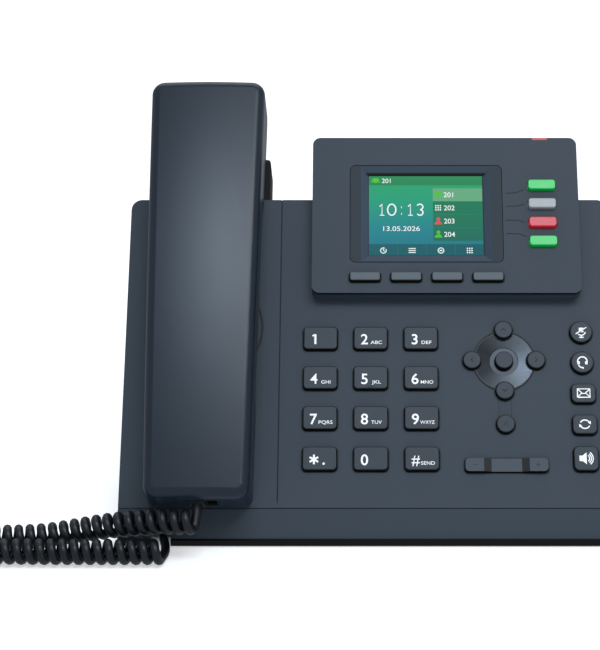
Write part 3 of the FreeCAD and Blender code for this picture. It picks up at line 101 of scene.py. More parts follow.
# one material and the nodes that make it
class Finish:
    def __init__(self, name):
        self.material = bpy.data.materials.new(name)
        self.material.use_nodes = True
        self.tree = self.material.node_tree
        self.shader = self.tree.nodes["Principled BSDF"]

    def add(self, kind, settings=None, sockets=None, out=0):
        node = self.tree.nodes.new(kind)
        for key, value in (settings or {}).items():
            if key == "stops":
                self.setStops(node.color_ramp, value)
            else:
                setattr(node, key, value)
        for key, value in (sockets or {}).items():
            self.feed(node.inputs[key], value)
        return Signal(self, node.outputs[out])

    def feed(self, socket, value):
        if isinstance(value, Signal):
            self.tree.links.new(value.socket, socket)
        else:
            socket.default_value = value

    def setStops(self, ramp, stops):
        while len(ramp.elements) < len(stops):
            ramp.elements.new(0.5)
        for element, (place, colour) in zip(ramp.elements, stops):
            element.position = place
            element.color = shade(linear(colour), 1.0)

    def set(self, **sockets):
        for key, value in sockets.items():
            self.feed(self.shader.inputs[key.replace("_", " ")], value)

    def objectPlace(self):
        return self.add("ShaderNodeTexCoord", out="Object")

    def noise(self, scale, detail):
        sockets = {"Vector": self.objectPlace(), "Scale": scale, "Detail": detail}
        return self.add("ShaderNodeTexNoise", None, sockets)

    def mix(self, amount, a, b):
        mixed = {"data_type": "RGBA"}
        return self.add("ShaderNodeMix", mixed, {0: amount, 6: a, 7: b}, out=2)

    # 1 where the surface looks straight out of the face, 0 on the sides of keys and ledges
    def faceUp(self, start=0.6, full=0.92):
        normal = self.add("ShaderNodeTexCoord", out="Normal")
        along = {"operation": "DOT_PRODUCT"}
        facing = self.add("ShaderNodeVectorMath", along, {0: normal, 1: faceNormal}, out="Value")
        smooth = {"interpolation_type": "SMOOTHSTEP"}
        return self.add("ShaderNodeMapRange", smooth, {0: facing, 1: start, 2: full})

    # a soft step from 0 to 1 where a place passes a level in mm along an axis of the face
    def past(self, axis, level):
        where = self.objectPlace()
        along = {"operation": "DOT_PRODUCT"}
        reach = self.add("ShaderNodeVectorMath", along, {0: where, 1: axis}, out="Value")
        start = Vector(axis).dot(Vector((0, face["foldY"], face["foldZ"])))
        edge, soft = (start + level) * mm, face["softStep"] * mm
        return self.add("ShaderNodeMapRange", None, {0: reach, 1: edge - soft, 2: edge + soft})

    def above(self, level):
        return self.past(faceNormal, level)

    def upFace(self, level):
        return self.past(faceUpward, level)

    def bump(self, height, strength, distance):
        sockets = {"Height": height, "Strength": strength, "Distance": distance}
        return self.add("ShaderNodeBump", None, sockets)


def linear(hexColour):
    parts = [int(hexColour[i:i + 2], 16) / 255 for i in (0, 2, 4)]
    return [p / 12.92 if p <= 0.04045 else ((p + 0.055) / 1.055) ** 2.4 for p in parts]


def shade(colour, amount):
    return (*[c * amount for c in colour], 1)


flowMarks = (22, 3)  # scale and detail of the faint marks where plastic ran into the mould
grainHeight = 0.00004


# moulded plastic: spark-eroded grain, faint flow marks in the colour, uneven gloss, and painted shade that
# darkens the sides of keys
def mouldedPlastic(name, colour, roughness, grain, depth, side=1.0, facing=(0.6, 0.92), shine=0.5):
    made = Finish(name)
    colour = linear(colour)
    flow = made.noise(*flowMarks)
    fine = made.noise(grain, 2)
    tone = made.mix(flow, shade(colour, 0.93), shade(colour, 1.08))
    # painted shade: surfaces turned away from the face, such as key sides and the rocker's scoop, take a
    # darker tone
    if side < 1:
        tone = made.mix(made.faceUp(*facing), shade(colour, side), tone)
    made.set(
        Base_Color=tone,
        Roughness=roughness - 0.06 + flow * 0.06 + fine * 0.06,
        Specular_IOR_Level=shine,
        Normal=made.bump(fine, depth, grainHeight),
    )
    return made.material


plastics = {
    "casePlastic": dict(colour="2F3A45", roughness=0.60, grain=2600, depth=0.30),
    # the base's own dark plastic, made near-black so that it also stands in as painted shade on the front
    # lip
    "basePlastic": dict(colour="060708", roughness=0.60, grain=2200, depth=0.35, shine=0.25),
    "handsetPlastic": dict(colour="0F1C2A", roughness=0.33, grain=3200, depth=0.16),
    # side sets the painted shade on the sides of keys and in the rocker's scoop
    "keyPlastic": dict(colour="27313B", roughness=0.52, grain=3400, depth=0.18, side=0.06),
    "rockerPlastic": dict(
        colour="36414B", roughness=0.50, grain=3400, depth=0.18, side=0.12, facing=(0.95, 0.997)
    ),
    "softKeyPlastic": dict(colour="475159", roughness=0.46, grain=3400, depth=0.18, side=0.03),
    "jackPlastic": dict(colour="08090A", roughness=0.42, grain=2600, depth=0.2),
    "hookPlastic": dict(colour="14171B", roughness=0.40, grain=2600, depth=0.2),
}
finishes = {name: mouldedPlastic(name, **values) for name, values in plastics.items()}


# painted light and shade that follow the head's own heights: a painted shadow line under its front edge and
# above the picture, and a lighter painted bottom face
headSet = {
    "headTone": "293540",
    "bezelTone": "1F2933",
    "underside": "2C3946",
    "shadowLine": "030405",
    "plateEdge": 4.7,  # mm above the case face, where the painted shadow line under the head's front edge ends
    "pictureTop": 144.0,  # mm up the face, above which the painted shadow line lies
    "pictureLine": 5.6,  # mm above the case face, below which the painted shadow line lies
}


def headPlastic(name):
    made = Finish(name)
    flow = made.noise(*flowMarks)
    fine = made.noise(2600, 2)
    tone, side = linear(headSet["headTone"]), linear(headSet["underside"])
    front = made.mix(flow, shade(tone, 0.93), shade(tone, 1.08))
    # painted shade and light on every surface that doesn't face out: a near-black shadow line by the front
    # edge, then a bottom face painted as light as the case face
    inShadowLine = made.above(headSet["plateEdge"])
    edge = made.mix(inShadowLine, shade(side, 1.0), shade(linear(headSet["shadowLine"]), 1.0))
    made.set(
        Base_Color=made.mix(made.faceUp(), edge, front),
        Roughness=0.52 + flow * 0.06 + fine * 0.06,
        Normal=made.bump(fine, 0.3, grainHeight),
    )
    return made.material


def bezelPlastic(name):
    made = Finish(name)
    flow = made.noise(*flowMarks)
    fine = made.noise(3000, 2)
    tone = linear(headSet["bezelTone"])
    flat = made.mix(flow, shade(tone, 0.95), shade(tone, 1.05))
    # painted light: the slanting walls round the window are coloured 2.6 times lighter against their shade,
    # and a painted shadow line runs along the picture's top
    paintedLitSlopes = made.mix(made.faceUp(0.86, 0.98), shade(tone, 2.6), flat)
    line = (1 - made.above(headSet["pictureLine"])) * made.upFace(headSet["pictureTop"])
    made.set(
        Base_Color=made.mix(line, paintedLitSlopes, shade(linear(headSet["shadowLine"]), 1.0)),
        Roughness=0.58 + flow * 0.06 + fine * 0.06,
        Normal=made.bump(fine, 0.2, grainHeight),
    )
    return made.material


finishes["headPlastic"] = headPlastic("headPlastic")
finishes["bezelPlastic"] = bezelPlastic("bezelPlastic")


# glossy light-pipe keys: a milky top painted lighter as a highlight, on sides painted darker as shade
def lensPlastic(name, top, side, glow):
    made = Finish(name)
    cloud = made.noise(160, 2)
    top, side = linear(top), linear(side)
    tone = made.mix(made.faceUp(0.4, 0.95), shade(side, 1.0), shade(top, 1.0))
    made.set(
        Base_Color=made.mix(cloud * 0.3, tone, shade(side, 1.2)),
        Roughness=0.14 + cloud * 0.08,
        Specular_IOR_Level=0.35,
        Emission_Color=tone,
        Emission_Strength=glow,
        Coat_Weight=0.1 + cloud * 0.1,
    )
    return made.material


lenses = {
    "lensGreen": ("1FA850", "0B7A33", 0.47),
    "lensWhite": ("8E9395", "697178", 0.21),
    "lensRed": ("AC2634", "A01424", 0.45),
    "lampRed": ("A8141E", "98101A", 0.20),
}
finishes.update({name: lensPlastic(name, *values) for name, values in lenses.items()})


def ringMetal(name):
    made = Finish(name)
    brushed = made.noise(900, 4)
    flow = made.noise(60, 2)
    colour = linear("484C51")
    # painted light: the dish is coloured brighter on the side that looks to the left, as if catching light
    # from there, and darker elsewhere
    normal = made.add("ShaderNodeTexCoord", out="Normal")
    leftward = made.add("ShaderNodeSeparateXYZ", None, {0: normal}, out="X")
    paintedLeftLight = made.add("ShaderNodeMapRange", None, {0: leftward, 1: 0.07, 2: -0.16})
    tone = made.mix(paintedLeftLight, shade(colour, 0.12), shade(colour, 1.6))
    made.set(
        Base_Color=made.mix(flow * 0.2, tone, shade(colour, 0.6)),
        Metallic=1.0,
        Roughness=0.24 + brushed * 0.12,
        Normal=made.bump(brushed, 0.15, 0.00003),
    )
    return made.material


finishes["ringMetal"] = ringMetal("ringMetal")


def cordJacket(name):
    made = Finish(name)
    colour = linear("0C0F15")
    sheen = made.noise(700, 3)
    streak = made.noise(60, 2)
    made.set(
        Base_Color=made.mix(streak, shade(colour, 0.8), shade(colour, 1.2)),
        Roughness=0.34 + sheen * 0.14,
        Normal=made.bump(sheen, 0.12, grainHeight),
    )
    return made.material


finishes["cordJacket"] = cordJacket("cordJacket")


def rubberFinish(name):
    made = Finish(name)
    colour = linear("17181A")
    dust = made.noise(300, 4)
    fine = made.noise(1800, 2)
    made.set(
        Base_Color=made.mix(dust, shade(colour, 0.8), shade(colour, 1.3)),
        Roughness=0.72 + fine * 0.16,
        Normal=made.bump(fine, 0.4, 0.00006),
    )
    return made.material


finishes["rubber"] = rubberFinish("rubber")


def boardFinish(name):
    made = Finish(name)
    squares = {"Vector": made.objectPlace(), "Scale": 900.0}
    weave = made.add("ShaderNodeTexChecker", None, squares, out="Fac")
    flow = made.noise(90, 3)
    made.set(
        Base_Color=made.mix(flow, shade(linear("0E3A22"), 0.8), shade(linear("1C5B38"), 1.0)),
        Roughness=0.36 + weave * 0.08,
        Normal=made.bump(weave, 0.1, 0.00003),
    )
    return made.material


finishes["board"] = boardFinish("board")


def steelFinish(name, colour, metallic, roughness):
    made = Finish(name)
    colour = linear(colour)
    scratch = made.noise(1400, 5)
    made.set(
        Base_Color=made.mix(scratch, shade(colour, 0.75), shade(colour, 1.2)),
        Metallic=metallic,
        Roughness=roughness + scratch * 0.15,
        Normal=made.bump(scratch, 0.15, 0.00003),
    )
    return made.material


finishes["screwSteel"] = steelFinish("screwSteel", "8C9094", 1.0, 0.28)
finishes["driverMetal"] = steelFinish("driverMetal", "2B2D30", 0.6, 0.42)


def clearPlastic(name):
    made = Finish(name)
    flow = made.noise(300, 3)
    made.set(
        Base_Color=made.mix(flow, shade(linear("12161B"), 1.0), shade(linear("20272E"), 1.0)),
        Roughness=0.12 + flow * 0.1,
        Coat_Weight=0.6,
    )
    return made.material


finishes["plugPlastic"] = clearPlastic("plugPlastic")


# printed legends and painted shade lines: dense ink with a slight unevenness
def inkFinish(name, colour, glow=0.0):
    made = Finish(name)
    colour = linear(colour)
    patch = made.noise(2600, 2)
    made.set(
        Base_Color=made.mix(patch, shade(colour, 0.92), shade(colour, 1.0)),
        Roughness=0.5 + patch * 0.1,
    )
    # painted light: the glow makes the print shine although it is no lamp
    if glow:
        made.set(Emission_Color=made.mix(patch, shade(colour, 0.97), shade(colour, 1.0)))
        made.set(Emission_Strength=glow)
    return made.material


finishes["whiteInk"] = inkFinish("whiteInk", "F6F6F5", glow=0.25)
finishes["dimInk"] = inkFinish("dimInk", "1E242B")
finishes["blackInk"] = inkFinish("blackInk", "030405")


# lit pixels: a colour that runs up the screen, with the fine lines of the pixel rows
def pixelFinish(name, stops, glow):
    made = Finish(name)
    place = made.objectPlace()
    height = made.add("ShaderNodeSeparateXYZ", None, {"Vector": place}, out="Z")
    low, high = display["lowZ"], display["highZ"]
    share = (height - low) / (high - low)
    colours = made.add("ShaderNodeValToRGB", {"stops": stops}, {"Fac": share})
    bands = {"Vector": place, "Scale": 900.0}
    rows = made.add("ShaderNodeTexWave", {"bands_direction": "Z"}, bands, out="Fac")
    lit = made.mix(rows * 0.06, colours, (0, 0, 0, 1))
    made.set(Base_Color=(0.01, 0.01, 0.01, 1), Roughness=0.25, Specular_IOR_Level=0.04)
    made.set(Emission_Color=lit, Emission_Strength=glow)
    return made.material


# camera at the photograph's place
cameraSet = {
    "place": (-0.0022, -0.73766, 0.3394),
    "elevation": math.radians(20),
    "lens": 103.74,
    "shiftX": -0.0985,
}
deselect()
bpy.ops.object.camera_add(
    location=cameraSet["place"], rotation=(math.pi / 2 - cameraSet["elevation"], 0, 0)
)
camera = bpy.context.object
camera.data.lens = cameraSet["lens"]
camera.data.shift_x = cameraSet["shiftX"]
camera.data.clip_start = 0.01
bpy.context.scene.camera = camera
print("camera set")

# curly cord: the curls' own line, then the wire round it
cordSet = {
    "curlRoute": [
        (-68.9, -76.6, 17.0),
        (-80.0, -75.2, 16.5),
        (-92.0, -72.0, 14.3),
        (-104.0, -69.4, 11.7),
        (-116.0, -67.9, 8.7),
        (-128.0, -67.3, 6.2),
        (-140.0, -67.2, 5.45),
        (-150.0, -67.0, 5.45),
        (-160.0, -64.6, 5.45),
        (-172.0, -58.6, 5.45),
        (-187.0, -60.5, 5.45),
        (-192.0, -74.5, 5.45),
        (-186.5, -87.5, 5.45),
        (-171.5, -89.2, 5.45),
        (-158.0, -82.4, 5.45),
        (-146.0, -79.0, 5.45),
        (-130.0, -79.5, 5.45),
        (-112.0, -79.6, 5.45),
        (-98.0, -79.6, 5.45),
        (-82.0, -79.6, 5.45),
    ],
    "tailRoute": [(-84.6, -53.0, 2.0), (-82.5, -22.0, 2.0), (-79.4, 2.8, 6.5), (-79.5, 12.8, 22.0)],
    "tailLead": 9.0,
    "wire": 3.7,
    "roundness": 3,
    "radius": 3.45,
    "pitch": 4.4,
    "firstPhase": math.radians(130),
    "lastPhase": math.radians(180),
    "turnPoints": 16,
    "handsetExit": (-67.9, -2.2, 14.3),  # on the face frame
    "baseExit": (-79.5, 12.94, 45.2),
    "length": 1.29,
    "stretch": 0.45,  # share of the wire, from the handset, over which the worked-out pull fades
}


# a curve through these control points, and the points along it
def routeLine(name, points, resolution):
    line = bpy.data.curves.new(name, "CURVE")
    line.dimensions = "3D"
    spline = line.splines.new("NURBS")
    spline.points.add(len(points) - 1)
    for point, place in zip(spline.points, points):
        point.co = (*place, 1)
    spline.order_u = 3
    spline.use_endpoint_u = True
    spline.resolution_u = resolution
    piece = bpy.data.objects.new(name, line)
    bpy.context.scene.collection.objects.link(piece)
    bpy.context.view_layer.update()
    graph = bpy.context.evaluated_depsgraph_get()
    mesh = bpy.data.meshes.new_from_object(piece.evaluated_get(graph))
    places = [v.co.copy() for v in mesh.vertices]
    bpy.data.meshes.remove(mesh)
    return piece, places


def curlPoints(axis):
    radius = cordSet["radius"] * mm
    ways = [(b - a).normalized() for a, b in zip(axis, axis[1:])]
    ways.append(ways[-1])
    steps = [(b - a).length for a, b in zip(axis, axis[1:])]
    phases = [0.0]
    for i, step in enumerate(steps):
        bend = (ways[i + 1] - ways[i]).length / step
        phases.append(phases[-1] + 2 * math.pi / (cordSet["pitch"] * mm) * (1 - radius * bend) * step)
    spare = cordSet["lastPhase"] - cordSet["firstPhase"]
    swing = math.floor((phases[-1] - spare) / (2 * math.pi)) * 2 * math.pi + spare
    count = round(swing / (2 * math.pi) * cordSet["turnPoints"])
    points = []
    k = 0
    for q in range(count + 1):
        goal = phases[-1] * q / count
        while k < len(phases) - 2 and phases[k + 1] < goal:
            k += 1
        f = (goal - phases[k]) / (phases[k + 1] - phases[k])
        place = axis[k].lerp(axis[k + 1], f)
        way = ways[k].lerp(ways[k + 1], f).normalized()
        up = (Vector((0, 0, 1)) - way * way.z).normalized()
        side = way.cross(up)
        turn = cordSet["firstPhase"] + swing * q / count
        points.append(place + (up * math.cos(turn) + side * math.sin(turn)) * radius)
    return points


axisLine, axisPlaces = routeLine("curlAxis", [Vector(p) * mm for p in cordSet["curlRoute"]], 40)
bpy.data.objects.remove(axisLine)
curls = curlPoints(axisPlaces)
cordExit = faceMatrix(*cordSet["handsetExit"]).translation
exitWay = (faceMatrix(0, -1, 0).translation - faceMatrix(0, 0, 0).translation).normalized()
lastWay = curls[-1] - curls[-2]
lastWay.z = 0
lastWay.normalize()
wireRoute = [cordExit, cordExit + exitWay * cordSet["wire"] * mm]
wireRoute += [cordExit.lerp(curls[0], 0.7)] + curls
wireRoute += [curls[-1] + lastWay * cordSet["tailLead"] * mm]
wireRoute += [Vector(p) * mm for p in cordSet["tailRoute"]] + [Vector(cordSet["baseExit"]) * mm]
cord, wirePlaces = routeLine("curlyCordJacket", wireRoute, 3)
cord.data.bevel_depth = cordSet["wire"] * mm / 2
cord.data.bevel_resolution = cordSet["roundness"]
cord.data.use_fill_caps = True
only(cord)
bpy.ops.object.convert(target="MESH")
cord = bpy.context.object
bpy.ops.object.shade_smooth()
cord.data.materials.clear()
cord.data.materials.append(finishes["cordJacket"])
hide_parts("curly_cord")
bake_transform(cord)
# a pull of the handset that fades along the wire, curl by curl, is worked out for each vertex but not kept
ringSize = 4 + 2 * cordSet["roundness"]  # as many points as the bevel gives each ring
runs = [0.0]
for a, b in zip(wirePlaces, wirePlaces[1:]):
    runs.append(runs[-1] + (b - a).length)
for index in range(len(cord.data.vertices)):
    # the mesh has its far and near end caps before the rings, so both take the first weights
    run = runs[min(index // ringSize, len(runs) - 1)]
    pull = max(0.0, 1 - run / (runs[-1] * cordSet["stretch"]))
    pull * pull * (3 - 2 * pull)
print("cord wound:", len(wirePlaces), "rings,", len(cord.data.vertices), "vertices, run", round(runs[-1], 4))

# finishes of the CAD nodes
nodeFinish = {
    "upper_shell": "casePlastic",
    "head_front": "headPlastic",
    "head_rear": "headPlastic",
    "lower_shell": "basePlastic",
    "stand": "basePlastic",
    "handset_back": "handsetPlastic",
    "handset_front": "handsetPlastic",
    "display_bezel": "bezelPlastic",
    "nav_ring": "ringMetal",
    "volume_rocker": "rockerPlastic",
    "message_lamp": "lampRed",
    "line_key_1": "lensGreen",
    "line_key_2": "lensWhite",
    "line_key_3": "lensRed",
    "line_key_4": "lensGreen",
    "front_feet": "rubber",
    "stand_feet": "rubber",
    "key_membrane": "rubber",
    "main_board": "board",
    "head_board": "board",
    "case_screws": "screwSteel",
    "loudspeaker": "driverMetal",
    "ear_receiver": "driverMetal",
    "mouth_microphone": "driverMetal",
    "rear_jacks": "jackPlastic",
    "base_cord_jack": "jackPlastic",
    "handset_jack": "jackPlastic",
    "hook_switch": "hookPlastic",
    "handset_plug": "plugPlastic",
    "base_plug": "plugPlastic",
    "lcd_panel": "jackPlastic",
}
for name, node in nodes.items():
    if name.startswith("soft_key"):
        chosen = "softKeyPlastic"
    else:
        chosen = nodeFinish.get(name, "keyPlastic")
    node.data.materials.clear()
    node.data.materials.append(finishes[chosen])
print("node finishes set")


# a new piece gets its place in its mesh, a finish and the body that it moves with
def settle(piece, name, body, finish, place):
    piece.name = name
    piece.data.name = name
    piece.data.transform(place)
    piece.data.materials.clear()
    piece.data.materials.append(finishes[finish])
    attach(piece, body)


# lettering, strokes and patches are laid on a surface as a film of ink
film = {"thick": 0.05, "lift": 0.03, "arcSteps": 14, "capHeight": 0.73, "extrude": 0.01}


# width is that of the whole text in mm, or None for the font's own
def letters(name, text, height, x, v, w, body, finish, bold=0.0, align="CENTER", width=None):
    deselect()
    bpy.ops.object.text_add()
    piece = bpy.context.object
    piece.data.body = text
    piece.data.offset = bold
    piece.data.extrude = film["extrude"]
    bpy.ops.object.convert(target="MESH")
    piece = bpy.context.object
    across = [vertex.co.x for vertex in piece.data.vertices]
    lowX, highX = min(across), max(across)
    scale = height / film["capHeight"]
    scaleX = width / (highX - lowX) if width else scale
    startX = lowX if align == "LEFT" else (lowX + highX) / 2
    piece.data.transform(Matrix.Translation((-startX, -film["capHeight"] / 2, 0)))
    thick = film["thick"] / (2 * film["extrude"])
    piece.data.transform(Matrix.Diagonal((scaleX * mm, scale * mm, thick * mm, 1)))
    settle(piece, name, body, finish, faceMatrix(x, v, w + film["lift"]))


def arc(x, y, radius, start, end, flatten=1.0, steps=film["arcSteps"]):
    angles = [math.radians(start + (end - start) * i / steps) for i in range(steps + 1)]
    return [(x + radius * math.cos(a), y + radius * flatten * math.sin(a)) for a in angles]


def patch(name, points):
    outline = bpy.data.curves.new(name, "CURVE")
    outline.dimensions = "2D"
    outline.fill_mode = "BOTH"
    outline.extrude = film["thick"] * mm
    spline = outline.splines.new("POLY")
    spline.points.add(len(points) - 1)
    for point, place in zip(spline.points, points):
        point.co = (place[0] * mm, place[1] * mm, 0, 1)
    spline.use_cyclic_u = True
    piece = bpy.data.objects.new(name, outline)
    bpy.context.scene.collection.objects.link(piece)
    only(piece)
    bpy.ops.object.convert(target="MESH")
    return bpy.context.object


# each stroke is its half width and its points, in mm from the middle of the sign; a patch has 0
def strokes(name, lines, x, v, w, body, finish, turn=0.0):
    patches = [points for radius, points in lines if radius == 0]
    lines = [line for line in lines if line[0] > 0]
    line = bpy.data.curves.new(name, "CURVE")
    line.dimensions = "3D"
    line.bevel_depth = mm
    line.bevel_resolution = 1
    line.use_fill_caps = True
    for radius, points in lines:
        spline = line.splines.new("POLY")
        spline.points.add(len(points) - 1)
        for point, place in zip(spline.points, points):
            point.co = (place[0] * mm, place[1] * mm, 0, 1)
            point.radius = radius
    piece = bpy.data.objects.new(name, line)
    bpy.context.scene.collection.objects.link(piece)
    only(piece)
    bpy.ops.object.convert(target="MESH")
    bpy.ops.object.shade_flat()
    piece = bpy.context.object
    flat = film["thick"] * mm
    for vertex in piece.data.vertices:
        vertex.co.z = max(-flat, min(flat, vertex.co.z))
    if patches:
        filled = [patch(name + "Patch", points) for points in patches]
        deselect()
        for part in filled:
            part.select_set(True)
        piece.select_set(True)
        bpy.context.view_layer.objects.active = piece
        bpy.ops.object.join()
    settle(piece, name, body, finish, faceMatrix(x, v, w) @ Matrix.Rotation(turn, 4, "Z"))


# dial legends: numeral, then the small letters and their width
dialSet = {
    "x": 0.53,
    "v": 46.15,
    "stepX": 20.73,
    "stepV": 17.22,
    "top": 2.0,
    "numeral": (-2.55, -0.5, 4.6),  # from the middle of the key, and its height
    "small": (2.35, -1.95, 1.5),
    "bold": 0.012,
    "smallBold": 0.004,
    "starShift": 0.3,
    "tactileBar": (0.5, 50.7),
    "ownShapes": {"hash": ("#", 3.4, 0.0), "4": ("4", None, 0.003)},  # sign, width and boldness
    "keys": [
        ("1", "", 0),
        ("2", "ABC", 4.7),
        ("3", "DEF", 4.1),
        ("4", "GHI", 3.8),
        ("5", "JKL", 3.8),
        ("6", "MNO", 5.1),
        ("7", "PQRS", 5.7),
        ("8", "TUV", 4.3),
        ("9", "WXYZ", 5.9),
        ("star", "", 0),
        ("0", "", 0),
        ("hash", "SEND", 5.6),
    ],
}
numeralOne = [(0.42, [(0.45, -2.25), (0.45, 2.0)]), (0.36, [(0.45, 1.95), (-0.75, 1.25)])]
starSpokes = [math.pi / 2 + math.pi / 3 * i for i in range(6)]
starLines = [(0.40, [(0, 0), (2.0 * math.cos(a), 2.0 * math.sin(a))]) for a in starSpokes]
starLines.append((0, arc(3.95, -1.75, 0.5, 0, 360)))


def dialPlace(index):
    row, column = divmod(index, 3)
    x = dialSet["x"] + dialSet["stepX"] * (column - 1)
    return x, dialSet["v"] + dialSet["stepV"] * (1.5 - row)


for index, (name, small, smallWidth) in enumerate(dialSet["keys"]):
    x, v = dialPlace(index)
    body = f"dial_key_{name}"
    top = dialSet["top"]
    dx, dv, height = dialSet["numeral"]
    place = (x + dx, v + dv, top, body, "whiteInk")
    if name == "1":
        strokes("legend_1", numeralOne, *place)
    elif name == "star":
        strokes("legend_star", starLines, x + dx + dialSet["starShift"], *place[1:])
    else:
        sign, width, bold = dialSet["ownShapes"].get(name, (name, None, dialSet["bold"]))
        letters(f"legend_{name}", sign, height, *place, bold, width=width)
    if small:
        dx, dv, height = dialSet["small"]
        place = (x + dx, v + dv, top, body, "whiteInk")
        letters(f"small_{name}", small, height, *place, dialSet["smallBold"], width=smallWidth)
barLine = [(0.3, [(-1.3, 0), (1.3, 0)])]
strokes("tactileBar", barLine, *dialSet["tactileBar"], dialSet["top"], "dial_key_5", "dimInk")
print("dial legends laid")

# signs on the other keys
signSet = {
    "top": 2.0,
    "sideX": 87.65,
    "navX": 55.5,
    "navV": 62.45,
    "navReach": 13.2,
    "ringRadius": 12.7,
    "ringTop": 0.26,
    "cancelV": 35.0,
    "guideV": 42.3,
    "rockerV": 17.75,
    "dividerX": -37.05,
    "headTop": 7.0,
    "leaders": (60.6, 126.9),
    "speaker": (-65.9, 77.0),
    "speakerRim": 21.7,
    "circleSteps": 72,
}
micLines = [
    (0.95, [(0, -0.3), (0, 1.7)]),
    (0.24, arc(0, 0.1, 1.7, 190, 350)),
    (0.26, [(0, -1.6), (0, -2.5)]),
    (0.26, [(-0.9, -2.5), (0.9, -2.5)]),
    (0.2, [(-2.3, -1.0), (2.2, 1.9)]),
]
micGap = [(0.12, [(-1.9, -1.2), (2.2, 1.45)])]
headsetLines = [
    (0.28, arc(0, 0.3, 1.95, -35, 215)),
    (0.52, [(-1.6, 0.3), (-1.6, -1.0)]),
    (0.52, [(1.6, 0.3), (1.6, -1.0)]),
    (0.26, arc(0.2, -0.6, 1.9, 200, 265)),
    (0.42, [(0.0, -2.5), (0.45, -2.5)]),
]
envelopeLines = [
    (0.28, [(-2.55, -1.8), (2.55, -1.8), (2.55, 1.8), (-2.55, 1.8), (-2.55, -1.8)]),
    (0.22, [(-2.5, 1.7), (-0.45, -0.2), (0.45, -0.2), (2.5, 1.7)]),
    (0.2, [(-2.5, -1.7), (-0.75, 0.1)]),
    (0.2, [(2.5, -1.7), (0.75, 0.1)]),
]
redialLines = [
    (0.26, arc(0, 0.3, 1.85, 30, 165, 0.8)),
    (0.26, arc(0, -0.3, 1.85, 210, 345, 0.8)),
    (0, [(1.15, 0.7), (2.4, 1.4), (2.35, -0.1)]),
    (0, [(-1.15, -0.7), (-2.4, -1.4), (-2.35, 0.1)]),
]
speakerLines = [
    (0, [(-2.8, -1.15), (-1.5, -1.15), (0.1, -2.5), (0.1, 2.5), (-1.5, 1.15), (-2.8, 1.15)]),
    (0.22, arc(-0.4, 0, 1.65, -48, 48)),
    (0.22, arc(-0.4, 0, 2.4, -50, 50)),
    (0.22, arc(-0.4, 0, 3.15, -52, 52)),
]
sideSigns = {  # place up the face, strokes, and the outline of the painted shade round the key's gap
    "mute_key": (74.7, micLines, "disc"),
    "headset_key": (61.4, headsetLines, "disc"),
    "message_key": (48.0, envelopeLines, "pill"),
    "redial_key": (34.7, redialLines, "pill"),
    "hands_free_key": (20.3, speakerLines, "tallPill"),
}
navX, keyTop = signSet["navX"], signSet["top"]
for name, (v, lines, outline) in sideSigns.items():
    strokes("sign_" + name, lines, signSet["sideX"], v, keyTop, name, "whiteInk")
muteV = sideSigns["mute_key"][0]
strokes("sign_mute_gap", micGap, signSet["sideX"], muteV, keyTop + film["lift"], "mute_key", "dimInk")
# painted shade: a dark line round the nav ring's rim
ringLines = [(0.3, arc(0, 0, signSet["ringRadius"], 0, 360, steps=signSet["circleSteps"]))]
strokes("ringOutline", ringLines, navX, signSet["navV"], signSet["ringTop"], "base", "blackInk")
chevron = [(0.2, [(-0.95, -0.5), (0, 0.5), (0.95, -0.5)])]
navPlaces = {}
for quarter, name in enumerate(["up", "left", "down", "right"]):
    turn = math.pi / 2 * quarter
    x = navX - signSet["navReach"] * math.sin(turn)
    v = signSet["navV"] + signSet["navReach"] * math.cos(turn)
    navPlaces[name] = (x, v)
    strokes("chevron_" + name, chevron, x, v, keyTop, "nav_key_" + name, "blackInk", turn)
cross = [(0.16, [(-0.9, -0.9), (0.9, 0.9)]), (0.16, [(-0.9, 0.9), (0.9, -0.9)])]
strokes("crossSign", cross, navX, signSet["cancelV"], keyTop, "cancel_key", "dimInk")
rockerSigns = [
    (0.13, [(-13.6, 0), (-11.6, 0)]),
    (0.13, [(11.6, 0), (13.6, 0)]),
    (0.13, [(12.6, -0.9), (12.6, 0.9)]),
]
strokes("volumeSigns", rockerSigns, navX, signSet["rockerV"], keyTop, "volume_rocker", "dimInk")
guides = [(0.10, [(x, -8.6), (x, 8.6)]) for x in (-2.6, 2.6)]
strokes("cancelGuides", guides, navX, signSet["guideV"], 0.0, "base", "dimInk")
dividerLine = [(0.13, [(0, 3.2), (0, 134.5)])]
strokes("dividerShade", dividerLine, signSet["dividerX"], 0.0, -0.05, "base", "blackInk")
leaders = [
    (0.25, [(-3.0, 8.08), (1.8, 8.5), (4.65, 9.79)]),
    (0.25, [(-3.1, 2.1), (1.9, 2.33), (4.6, 3.07)]),
    (0.25, [(-3.2, -4.17), (1.5, -4.26), (4.65, -5.08)]),
    (0.25, [(-3.1, -10.22), (2.3, -10.45), (5.2, -11.63)]),
]
strokes("lineLeaders", leaders, *signSet["leaders"], signSet["headTop"], "base", "blackInk")


# painted shade: dark lines round the keys, on the panel beside each opening, where the gaps fall into shade
gapShadeSet = {
    "line": 0.24,
    "reach": 0.9,
    "cornerSteps": 6,
    "navLift": 0.2,
    "softX": 23.8,
    "softV": 96.75,
    "softStep": 17.06,
    "outlines": {  # width and height of the key, and corner radius of the gap
        "dial": (13.85, 9.65, 2.0),
        "soft": (12.7, 3.8, 1.4),
        "disc": (9.2, 9.2, 5.05),
        "pill": (9.9, 8.0, 2.6),
        "tallPill": (9.9, 10.0, 2.6),
        "rocker": (33.5, 5.45, 1.6),
        "round": (7.4, 7.4, 4.15),
    },
}


